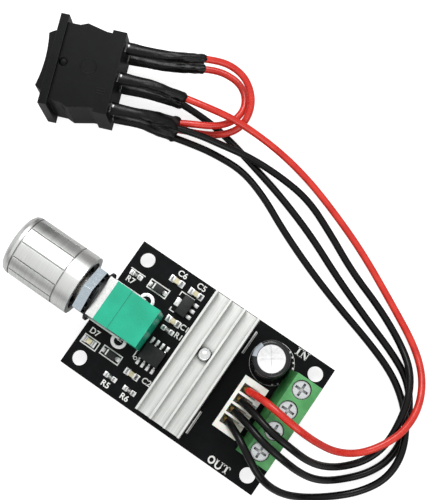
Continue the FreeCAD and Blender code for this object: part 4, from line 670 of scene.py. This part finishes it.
def shrinkSleeve(number, side, height, names, fromStart):
    # one sleeve from its lug to the end of its wires, puckered by a noise of its own
    ends = []
    away = Vector((0, 0, 0))
    for name in names:
        route = leads[name]["route"]
        stop, beside = (route[0], route[1]) if fromStart else (route[-1], route[-2])
        stop = Vector(stop) * mm
        beside = Vector(beside) * mm
        ends.append(stop)
        away += (beside - stop).normalized()
    away.normalize()
    end = (ends[0] + ends[-1]) / 2
    spread = (ends[0] - ends[-1]).length / 2
    root = inSwitch(sleeveLook["start"], side, height)
    tip = inSwitch(sleeveLook["pastLug"], side, height)
    straight = (tip - root).length
    curved = (end - tip).length
    endSide = (ends[0] - ends[-1]).normalized() if spread > 0 else wide
    wall = sleeveLook["wall"] * mm
    radius = wireDiameter / 2
    blade = [half * mm for half in sleeveLook["overBlade"]]
    solder = [half * mm for half in sleeveLook["overSolder"]]
    # half sizes of the oval where the sleeve starts, passes the lug, bends and ends
    stations = [(0.0, *blade), (straight, *solder),
                (straight + curved * 0.5, radius + spread * 0.7 + wall, radius + wall),
                (straight + curved, radius + spread + wall, radius + wall * 0.85)]
    rings = []
    count = sleeveLook["rings"]
    for i in range(count + 1):
        reach = (straight + curved) * i / count
        spot, along = onSleeve(root, tip, end, away, reach)
        turning = smooth((reach - straight) / curved)
        across = wide * (1 - turning) + endSide * turning
        across = (across - along * across.dot(along)).normalized()
        up = along.cross(across)
        last = next(k for k in (1, 2, 3) if reach <= stations[k][0] + 1e-9)
        before, after = stations[last - 1], stations[last]
        share = smooth((reach - before[0]) / (after[0] - before[0]))
        halfWide = before[1] + (after[1] - before[1]) * share
        halfHigh = before[2] + (after[2] - before[2]) * share
        # the tube clings to the blade at first, so it puckers less there
        loose = sleeveLook["pucker"] * (0.25 + 0.75 * smooth((reach - straight * 0.7) / straight))
        loose *= min(1.0, (straight + curved - reach) / (2.5 * mm) + 0.2)
        ring = []
        for k in range(sleeveLook["sides"]):
            angle = 2 * math.pi * k / sleeveLook["sides"]
            direction = across * math.cos(angle) * halfWide + up * math.sin(angle) * halfHigh
            sample = Vector((reach / mm * 0.32, math.cos(angle) * 1.5 + number * 7, math.sin(angle) * 1.5))
            ripple = noise.noise(sample) + 0.6 * noise.noise(sample * 2.7)
            ring.append(spot + direction * (1 + ripple * loose))
        rings.append(ring)
    # the cut end turns in to the wire
    for inward, back in ((0.93, 0.0), (0.8, -0.02), (0.77, -0.45)):
        rings.append([end + (p - end) * inward + away * back * mm for p in rings[count]])
    rings.insert(0, [root + (p - root) * 0.75 for p in rings[0]])
    sides = sleeveLook["sides"]
    points = [p for ring in rings for p in ring]
    ends = [list(range(sides)), [(len(rings) - 1) * sides + k for k in range(sides)]]
    return (points, wrapRows(len(rings), sides) + ends), "shrinkTube"


sleeveParts = [shrinkSleeve(number, *sleeve) for number, sleeve in enumerate(sleeves)]
# solder that squeezed out of each upper eye shows as a bright bead
for side, height, _, _ in sleeves:
    if height > 0:
        middle = inSwitch(bead["depth"], side + bead["side"], height + bead["up"])
        profile = [(r * mm, z * mm) for r, z in bead["profile"]]
        sleeveParts.append((lathe(profile, middle, steps=20), "frozenSolder"))
piece("shrinkSleeves", sleeveParts, replaced=["shrink_sleeves"], angle=60)
print("sleeves shrunk on")

# ink and solder lie this high on the board, in millimetres
ink = {"high": 0.03, "letterScale": 1.38, "bolder": 0.038}
inkTop = boardTop + ink["high"] * mm
padHeight = 0.05 * mm
labels = [
    # words, middle x, middle y, letter height
    ("R7", -22.6, 7.2, 1.35), ("C6", -13.7, 14.6, 1.35), ("C5", -8.7, 14.6, 1.35), ("C1", -6.7, 5.1, 1.3),
    ("R1", -6.8, 2.9, 1.3), ("C2", -6.9, -9.1, 1.35), ("D7", -22.4, -6.6, 1.35), ("R5", -14.0, -14.5, 1.35),
    ("R6", -9.0, -14.5, 1.35),
]
for words, x, y, height in labels:
    text = bpy.data.curves.new("print" + words, "FONT")
    text.body = words
    text.size = height * mm * ink["letterScale"]
    text.align_x = "CENTER"
    text.align_y = "CENTER"
    text.extrude = ink["high"] * mm / 2
    text.offset = ink["bolder"] * mm
    text.materials.append(skins["boardInk"])
    letters = bpy.data.objects.new("print" + words, text)
    letters.location = (x * mm, y * mm, boardTop + ink["high"] * mm / 2)
    bpy.context.scene.collection.objects.link(letters)
    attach(letters, "board")


def stroke(start, stop, width):
    # a straight printed stroke between two points of the board, in millimetres
    start = Vector((start[0], start[1], 0)) * mm
    stop = Vector((stop[0], stop[1], 0)) * mm
    across = (stop - start).normalized().cross(Vector((0, 0, 1))) * width * mm / 2
    corners = [start - across, stop - across, stop + across, start + across]
    points = [c + Vector((0, 0, z)) for z in (boardTop, inkTop) for c in corners]
    faces = [[4, 5, 6, 7]] + [[k, (k + 1) % 4, 4 + (k + 1) % 4, 4 + k] for k in range(4)]
    return (points, faces), "boardInk"


def inkBar(lowX, lowY, highX, highY):
    # a printed bar, in millimetres on the board
    low = (lowX * mm, lowY * mm, boardTop)
    high = (highX * mm, highY * mm, inkTop)
    return block(low, high, 0.01 * mm, 1), "boardInk"


def inkFrame(lowX, lowY, highX, highY, line=0.26):
    return [inkBar(lowX, lowY, highX, lowY + line), inkBar(lowX, highY - line, highX, highY),
            inkBar(lowX, lowY + line, lowX + line, highY - line),
            inkBar(highX - line, lowY + line, highX, highY - line)]


def inkRing(x, y, radius, line, start=0, stop=360, steps=72, stretch=1.0):
    # a printed ring or part of one, taller than wide where it is stretched
    whole = stop - start >= 360
    count = steps if whole else steps + 1
    angles = [math.radians(start + (stop - start) * step / steps) for step in range(count)]
    points = []
    for height in (boardTop, inkTop):
        for reach in (radius + line / 2, radius - line / 2):
            for angle in angles:
                across = x + reach * math.cos(angle)
                along = y + reach * math.sin(angle) * stretch
                points.append(Vector((across * mm, along * mm, height)))
    faces = []
    top = 2 * count
    for k in range(count if whole else count - 1):
        after = (k + 1) % count
        faces.append([top + k, top + after, top + count + after, top + count + k])
        faces.append([after, top + after, top + k, k])
        faces.append([top + count + k, top + count + after, count + after, count + k])
    return (points, faces), "boardInk"


capitals = {
    # strokes of printed capitals with serifs, as start, stop and weight; x from the middle, y as a share of
    # the height with its rest in millimetres
    "I": [((0, 0, 0), (0, 1, 0), "bold"), ((-0.45, 0, 0.085), (0.45, 0, 0.085), "fine"),
          ((-0.45, 1, -0.085), (0.45, 1, -0.085), "fine")],
    "N": [((-0.6, 0, 0), (-0.6, 1, 0), "fine"), ((0.6, 0, 0), (0.6, 1, 0), "fine"),
          ((-0.62, 1, -0.05), (0.56, 0, 0.05), "bold"), ((-0.9, 0, 0.085), (-0.3, 0, 0.085), "fine"),
          ((-0.95, 1, -0.085), (-0.45, 1, -0.085), "fine"), ((0.3, 1, -0.085), (0.9, 1, -0.085), "fine")],
    "T": [((0, 0, 0), (0, 1, 0), "bold"), ((-0.8, 1, -0.085), (0.8, 1, -0.085), "fine"),
          ((-0.72, 1, 0), (-0.72, 1, -0.5), "fine"), ((0.72, 1, 0), (0.72, 1, -0.5), "fine"),
          ((-0.42, 0, 0.085), (0.42, 0, 0.085), "fine")],
    "U": [((-0.6, 0, 0.62), (-0.6, 1, 0), "bold"), ((0.6, 0, 0.62), (0.6, 1, 0), "fine"),
          ((-0.95, 1, -0.085), (-0.25, 1, -0.085), "fine"), ((0.3, 1, -0.085), (0.9, 1, -0.085), "fine")],
    "O": [],
}
weights = {"tall": 1.75, "bold": 0.4, "fine": 0.17, "bowl": 0.34, "bowlRadius": 0.62}


def bigLetter(letter, x, foot):
    strokes = []
    for start, stop, weight in capitals[letter]:
        ends = [(x + dx, foot + share * weights["tall"] + dy) for dx, share, dy in (start, stop)]
        strokes.append(stroke(*ends, weights[weight]))
    radius = weights["bowlRadius"]
    if letter == "U":
        strokes.insert(0, inkRing(x, foot + radius, radius, weights["bowl"], 180, 360, 40))
    if letter == "O":
        strokes.append(inkRing(x, foot + weights["tall"] / 2, radius, weights["bowl"], 0, 360, 40, 1.13))
    return strokes


capRing = {"middle": (13.0, 9.6), "radius": 4.85, "line": 0.08}
ticks = {"from": 4.45, "to": 4.78, "width": 0.4, "first": -55, "every": 15, "count": 9}
markings = {
    "capitals": [("I", 16.3, 14.1), ("N", 17.9, 14.1), ("O", 13.9, -15.5), ("U", 15.75, -15.5),
                 ("T", 17.6, -15.5)],
    "frames": [(-18.9, 7.9, -13.9, 10.2), (-19.1, -9.8, -14.1, -7.5), (-24.0, -10.1, -19.9, -7.8)],
    "bars": [(-24.0, 9.5, -20.2, 9.75), (6.35, 7.8, 6.65, 13.4), (6.77, 7.8, 6.87, 13.4),
             (6.1, -13.1, 6.4, -7.5), (6.52, -13.1, 6.62, -7.5), (-11.9, 6.6, -10.7, 6.84),
             (-11.9, 6.84, -11.66, 7.5), (-11.9, 10.5, -11.66, 11.36), (-11.9, 11.36, -8.4, 11.6),
             (-12.6, -6.3, -12.35, -0.9)],
}


def boardPrint():
    printed = []
    for letter in markings["capitals"]:
        printed += bigLetter(*letter)
    for outline in markings["frames"]:
        printed += inkFrame(*outline)
    printed += [inkBar(*bar) for bar in markings["bars"]]
    x, y = capRing["middle"]
    printed.append(inkRing(x, y, capRing["radius"], capRing["line"]))
    for k in range(ticks["count"]):
        angle = math.radians(ticks["first"] + ticks["every"] * k)
        start, stop = [(x + math.cos(angle) * reach, y + math.sin(angle) * reach)
                       for reach in (ticks["from"], ticks["to"])]
        printed.append(stroke(start, stop, ticks["width"]))
    printed.append(inkRing(-11.9, -6.2, 0.35, 0.18))
    return printed


piece("boardPrint", boardPrint())
print("board printed")


def pad(lowX, lowY, highX, highY):
    low = (lowX, lowY, boardTop)
    high = (highX, highY, boardTop + padHeight)
    return block(low, high, 0.05 * mm, 2), "frozenSolder"


def fillet(wallX, y, outward, width, height, reach):
    # solder that climbs the end of a chip: outward is +1 or -1 along x
    points = []
    steps = 7
    for edge in (-1, 1):
        for i in range(steps):
            t = i / (steps - 1)
            x = wallX + outward * reach * t
            z = boardTop + height * (1 - t) ** 2.2 + padHeight * 0.6
            points.append(Vector((x, y + edge * width / 2 * (1 - 0.12 * t), z)))
        points.append(Vector((wallX, y + edge * width / 2, boardTop)))
        points.append(Vector((wallX + outward * reach, y + edge * width / 2 * 0.88, boardTop)))
    row = steps + 2
    faces = [[i, i + 1, row + i + 1, row + i] for i in range(steps - 1)]
    for start in (0, row):
        faces.append([start + i for i in range(steps)] + [start + steps + 1, start + steps])
    faces.append([steps, steps + 1, row + steps + 1, row + steps])
    faces.append([0, steps, row + steps, row])
    faces.append([steps - 1, steps + 1, row + steps + 1, row + steps - 1])
    return (points, faces), "frozenSolder"


def inside(low, high, x, y, lowZ, highZ):
    # two corners: x and y in from the sides, lowZ and highZ up from the foot, all in millimetres
    return ((low.x + x * mm, low.y + y * mm, low.z + lowZ * mm),
            (high.x - x * mm, high.y - y * mm, low.z + highZ * mm))


def solderedEnd(low, high, outward, end):
    # one metal end of a chip with its pad and the solder between them; the sizes in end are in millimetres
    wall = high.x if outward > 0 else low.x
    root = wall - outward * end["cap"] * mm
    tip = wall + outward * end["pad"] * mm
    side = end["side"] * mm
    cap = block((min(wall, root), low.y, low.z + end["foot"] * mm),
                (max(wall, root), high.y, low.z + end["tall"] * mm), end["edge"] * mm, end["cuts"])
    solder = fillet(wall, (low.y + high.y) / 2, outward, (high.y - low.y) * end["wide"], end["climb"] * mm,
                    end["creep"] * mm)
    return [(cap, "tinnedCopper"), pad(min(tip, root), low.y - side, max(tip, root), high.y + side), solder]


chipEnd = {"pad": 0.8, "side": 0.12, "foot": 0.04, "edge": 0.1, "cuts": 3, "wide": 0.92, "creep": 0.64}
glaze = {"side": 0.08, "bar": (0.14, 0.4), "apart": 0.26}


def chipParts(node, core, capShare, glazed):
    # rectangular chips with wrapped metal ends, soldered on two pads
    parts = []
    for low, high in islands(node):
        tall = (high.z - low.z) / mm
        cap = (high.x - low.x) / mm * capShare
        body = inside(low, high, cap * 0.8, 0.03, chipEnd["foot"], tall - 0.03)
        parts.append((block(*body, 0.06 * mm), core))
        if glazed:
            crown = inside(low, high, cap, glaze["side"], tall - 0.08, tall)
            parts.append((block(*crown, 0.03 * mm), "resistorGlaze"))
            middle = (low + high) / 2
            for step in (-1, 0, 1):
                x = middle.x / mm + step * glaze["apart"]
                half = [size / 2 for size in glaze["bar"]]
                bar = [(x + way * half[0], middle.y / mm + way * half[1], high.z / mm + way * 0.01)
                       for way in (-1, 1)]
                corners = [[v * mm for v in corner] for corner in bar]
                parts.append((block(*corners, 0.01 * mm, 1), "boardInk"))
        end = {**chipEnd, "cap": cap, "tall": tall, "climb": tall * 0.7}
        for outward in (-1, 1):
            parts += solderedEnd(low, high, outward, end)
    return parts


piece("chipCapacitors", chipParts("chip_capacitors", "chipCeramic", 0.24, False),
      replaced=["chip_capacitors"])
piece("chipResistors", chipParts("chip_resistors", "plugNylon", 0.22, True),
      replaced=["chip_resistors"])

lampEnd = {"cap": 0.4, "pad": 0.6, "side": 0.1, "foot": 0.04, "tall": 0.42, "edge": 0.06, "cuts": 2,
           "wide": 0.9, "climb": 0.35, "creep": 0.5}


def lampParts():
    # surface-mount lamp: a white base, a clear lens and soldered ends
    low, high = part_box("power_lamp")
    lens = inside(low, high, 0.42, 0.06, 0.38, (high.z - low.z) / mm)
    parts = [(block(*inside(low, high, 0.35, 0.0, 0.05, 0.4), 0.05 * mm), "plugNylon"),
             (block(*lens, 0.16 * mm, 4), "lampLens")]
    for outward in (-1, 1):
        parts += solderedEnd(low, high, outward, lampEnd)
    return parts


piece("powerLamp", lampParts(), replaced=["power_lamp"])

legs = {"thin": 0.12, "thick": 0.16, "diodeWide": 0.6, "timerWide": 0.4, "timerCount": 4}


def diodeParts():
    # moulded diodes: flat tinned legs, a body with rounded edges and a printed band
    parts = []
    for low, high in islands("signal_diodes"):
        y = (low.y + high.y) / 2
        middle = low.z + (high.z - low.z) * 0.45
        parts.append((block(low, high, 0.12 * mm, 3), "chipEpoxy"))
        band = block((low.x + 0.3 * mm, low.y + 0.1 * mm, high.z - 0.05 * mm),
                     (low.x + 0.65 * mm, high.y - 0.1 * mm, high.z + 0.01 * mm), 0.02 * mm, 1)
        parts.append((band, "boardInk"))
        bends = [(-0.2, middle), (0.1, middle), (0.2, middle - 0.12 * mm), (0.24, boardTop + 0.2 * mm),
                 (0.34, boardTop + 0.11 * mm), (0.7, boardTop + 0.11 * mm)]
        for wall, outward in ((low.x, -1), (high.x, 1)):
            leg = [(wall + outward * reach * mm, y, z) for reach, z in bends]
            parts.append((strip(leg, legs["thin"] * mm, (0, legs["diodeWide"] * mm, 0)), "tinnedCopper"))
            ends = sorted(wall + outward * reach * mm for reach in (0.1, 0.95))
            parts.append(pad(ends[0], y - 0.5 * mm, ends[1], y + 0.5 * mm))
    return parts


piece("signalDiodes", diodeParts(), replaced=["signal_diodes"])

regulator = {"pitch": 1.5, "leg": 0.45, "reach": 0.9, "tab": 1.8, "tabReach": 0.7, "lift": 0.14}


def regulatorParts():
    # three-legged regulator with a wide tab
    low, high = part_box("regulator")
    y = (low.y + high.y) / 2
    level = boardTop + regulator["lift"] * mm
    thick = legs["thick"] * mm
    parts = [(block(low, high, 0.14 * mm, 3), "chipEpoxy")]
    for step in (-1, 0, 1):
        legY = y + regulator["pitch"] * mm * step
        leg = [(high.x - 0.2 * mm, legY, level), (high.x + regulator["reach"] * mm, legY, level)]
        parts.append((strip(leg, thick, (0, regulator["leg"] * mm, 0)), "tinnedCopper"))
        parts.append(pad(high.x + 0.05 * mm, legY - 0.4 * mm, high.x + 1.15 * mm, legY + 0.4 * mm))
    tab = [(low.x + 0.2 * mm, y, level), (low.x - regulator["tabReach"] * mm, y, level)]
    parts.append((strip(tab, thick, (0, -regulator["tab"] * mm, 0)), "tinnedCopper"))
    parts.append(pad(low.x - 1.25 * mm, y - 0.95 * mm, low.x - 0.05 * mm, y + 0.95 * mm))
    return parts


piece("regulatorPackage", regulatorParts(), replaced=["regulator", "small_package_leads"])


def timerParts():
    # eight-legged chip with gull-wing legs and a dimple at its first leg
    low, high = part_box("timer_chip")
    rowLow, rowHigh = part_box("timer_chip_leads")
    middle = (low.z + high.z) / 2
    level = boardTop + 0.14 * mm
    dimple = lathe([(0.0, 0.004 * mm), (0.2 * mm, 0.004 * mm), (0.3 * mm, 0.014 * mm), (0.34 * mm, 0.0)],
                   (low.x + 0.7 * mm, low.y + 0.7 * mm, high.z - 0.01 * mm), steps=24)
    parts = [(block(low, high, 0.14 * mm, 3), "chipEpoxy"), (dimple, "resistorGlaze")]
    width = legs["timerWide"] * mm
    pitch = (rowHigh.x - rowLow.x - width) / (legs["timerCount"] - 1)
    bends = [(-0.15, middle), (0.18, middle), (0.3, middle - 0.1 * mm), (0.42, boardTop + 0.24 * mm),
             (0.54, level)]
    for wall, tip, outward in ((low.y, rowLow.y, -1), (high.y, rowHigh.y, 1)):
        ends = sorted((wall + outward * 0.4 * mm, tip + outward * 0.5 * mm))
        for k in range(legs["timerCount"]):
            x = rowLow.x + width / 2 + pitch * k
            leg = [(x, wall + outward * reach * mm, z) for reach, z in bends] + [(x, tip, level)]
            parts.append((strip(leg, legs["thick"] * mm, (width * outward, 0, 0)), "tinnedCopper"))
            parts.append(pad(x - 0.33 * mm, ends[0], x + 0.33 * mm, ends[1]))
    return parts


piece("timerPackage", timerParts(), replaced=["timer_chip", "timer_chip_leads"])

canLow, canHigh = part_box("capacitor_jacket")
can = {"foot": Vector(((canLow.x + canHigh.x) / 2, (canLow.y + canHigh.y) / 2, canLow.z)),
       "radius": (canHigh.x - canLow.x) / 2, "tall": canHigh.z - canLow.z, "stripe": (155, 205), "score": 35}


def capacitorParts():
    # drawn can in a shrunk film: rolled groove above the bung, film folded over the rim, pale stripe
    radius, tall, foot = can["radius"], can["tall"], can["foot"]
    film = [(radius * 0.82, 0.0), (radius * 0.97, 0.12 * mm), (radius, 0.5 * mm), (radius, 1.2 * mm),
            (radius * 0.94, 1.75 * mm), (radius, 2.3 * mm)]
    # over the rim: share of the radius, then how far below the top in millimetres
    rim = [(1.0, 0.9), (0.985, 0.45), (0.94, 0.14), (0.85, 0.0), (0.76, 0.03), (0.735, 0.14), (0.75, 0.3)]
    film += [(radius * share, tall - drop * mm) for share, drop in rim]
    top = tall - 0.16 * mm
    lid = [(radius * share, top - drop * mm)
           for share, drop in ((0.85, 0.5), (0.8, 0.06), (0.72, 0.0), (0.66, 0.05), (0.0, 0.05))]
    parts = [(lathe(film, foot, steps=72), "canPvc"), (lathe(lid, foot, steps=72), "drawnAluminium")]
    # the printed stripe follows the film up the side and over the rim
    stripe = film[5:12]
    lift = 0.015 * mm
    columns = 14
    points = []
    for reach, height in stripe:
        for k in range(columns + 1):
            angle = math.radians(can["stripe"][0] + (can["stripe"][1] - can["stripe"][0]) * k / columns)
            up = height + (lift if height > tall - 0.6 * mm else 0)
            out = reach + lift
            points.append(foot + Vector((out * math.cos(angle), out * math.sin(angle), up)))
    faces = []
    for row in range(len(stripe) - 1):
        for k in range(columns):
            start = row * (columns + 1) + k
            faces.append([start, start + 1, start + columns + 2, start + columns + 1])
    return parts + [((points, faces), "canPvcStripe")]


piece("capacitorCase", capacitorParts(), replaced=["capacitor_jacket", "capacitor_can"])


def ventScore():
    # the cross pressed into the lid
    parts = []
    middle = can["foot"] + Vector((0, 0, can["tall"] - 0.2 * mm))
    for turn in (can["score"], can["score"] + 90):
        half = Vector((math.cos(math.radians(turn)), math.sin(math.radians(turn)), 0)) * can["radius"] * 0.62
        across = Vector((-half.y, half.x, 0)).normalized() * 0.1 * mm
        path = [middle + half * share for share in (-1, -0.5, 0.5, 1)]
        parts.append((strip(path, 0.03 * mm, across), "drawnAluminium"))
    return parts


piece("capacitorVent", ventScore())
print("small parts placed")


def screwEnd():
    # the point of the heat sink's screw: a bright last thread round a faced end
    low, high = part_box("heatsink_screw")
    centre = ((low.x + high.x) / 2, (low.y + high.y) / 2, high.z)
    thread = [(1.32, -0.2), (1.3, -0.06), (1.18, 0.02), (1.02, 0.0), (1.0, -0.2)]
    face = [(0.0, 0.03), (0.62, 0.03), (0.74, -0.04)]
    return [(lathe([(r * mm, z * mm) for r, z in thread], centre, closed=True), "tinnedCopper"),
            (lathe([(r * mm, z * mm) for r, z in face], centre), "tinnedCopper")]


piece("screwPoint", screwEnd())


def solderCones():
    # each joint wets its pad and draws up round the pin
    parts = []
    for low, high in islands("solder_joints"):
        centre = ((low.x + high.x) / 2, (low.y + high.y) / 2, high.z)
        foot = (high.x - low.x) / 2
        pin = max(foot - 0.45 * mm, 0.3 * mm)
        tall = high.z - low.z
        profile = [(foot * 1.12, -0.02 * mm), (foot * 1.05, -0.07 * mm)]
        for k in range(1, 9):
            t = k / 8
            profile.append((pin + (foot - pin) * (1 - t) ** 1.8, -tall * t - 0.05 * mm))
        profile.append((pin * 0.4, -tall - 0.3 * mm))
        parts.append((lathe(profile, centre, steps=28), "frozenSolder"))
    return parts


piece("solderFillets", solderCones(), replaced=["solder_joints"])


def legPads():
    # the oval lands that hold the speed control's bracket, with solder drawn up the leg
    parts = []
    low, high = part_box("pot_bracket")
    profile = [(1.75, 0.0), (1.7, 0.06), (1.2, 0.14), (1.0, 0.1), (0.95, 0.0)]
    for y, outward in ((low.y + 0.2 * mm, -1), (high.y - 0.2 * mm, 1)):
        centre = (high.x - 0.6 * mm, y + outward * 0.35 * mm, boardTop)
        points, faces = lathe([(r * mm, z * mm) for r, z in profile], centre, closed=True)
        stretched = [Vector((centre[0] + (p.x - centre[0]) * 1.05, p.y, p.z)) for p in points]
        parts.append(((stretched, faces), "frozenSolder"))
    return parts


piece("bracketLands", legPads())

marks = {"top": 6.5, "pivot": 3.0, "ring": (8.6, 0.3), "ringRadius": 1.75, "ringThick": 0.16,
         "bars": (11.6, 13.6), "barSide": -4.6, "barGap": 0.6}


def ringOn(centre, radius, thickness, steps=48, sides=10):
    # a raised moulded ring that lies flat
    points = []
    for i in range(steps):
        angle = 2 * math.pi * i / steps
        for k in range(sides):
            tilt = 2 * math.pi * k / sides
            reach = radius + thickness * math.cos(tilt)
            up = thickness * 0.5 * math.sin(tilt)
            points.append(centre + Vector((reach * math.cos(angle), reach * math.sin(angle), up)))
    return points, wrapRows(steps, sides, closed=True)


def switchMarks():
    # a plain ring and three short bars, moulded on the shell
    ring = ringOn(inSwitch(*marks["ring"], marks["top"]), marks["ringRadius"] * mm, marks["ringThick"] * mm)
    parts = [(ring, "switchNylon")]
    for step in (-1, 0, 1):
        side = marks["barSide"] + step * marks["barGap"]
        start, stop = [inSwitch(depth, side, marks["top"]) for depth in marks["bars"]]
        parts.append((strip([start, (start + stop) / 2, stop], 0.12 * mm, wide * 0.22 * mm), "switchNylon"))
    return parts


piece("switchMarks", switchMarks())
# the domed end of the rocker's pivot turns with the rocker
dome = [(0.0, 0.26), (0.5, 0.25), (0.85, 0.17), (0.98, 0.0)]
pivotEnd = lathe([(r * mm, z * mm) for r, z in dome], inSwitch(marks["pivot"], 0.0, marks["top"]), steps=32)
piece("pivotEnd", [(pivotEnd, "switchNylon")], body="rocker")
print("switch marked")
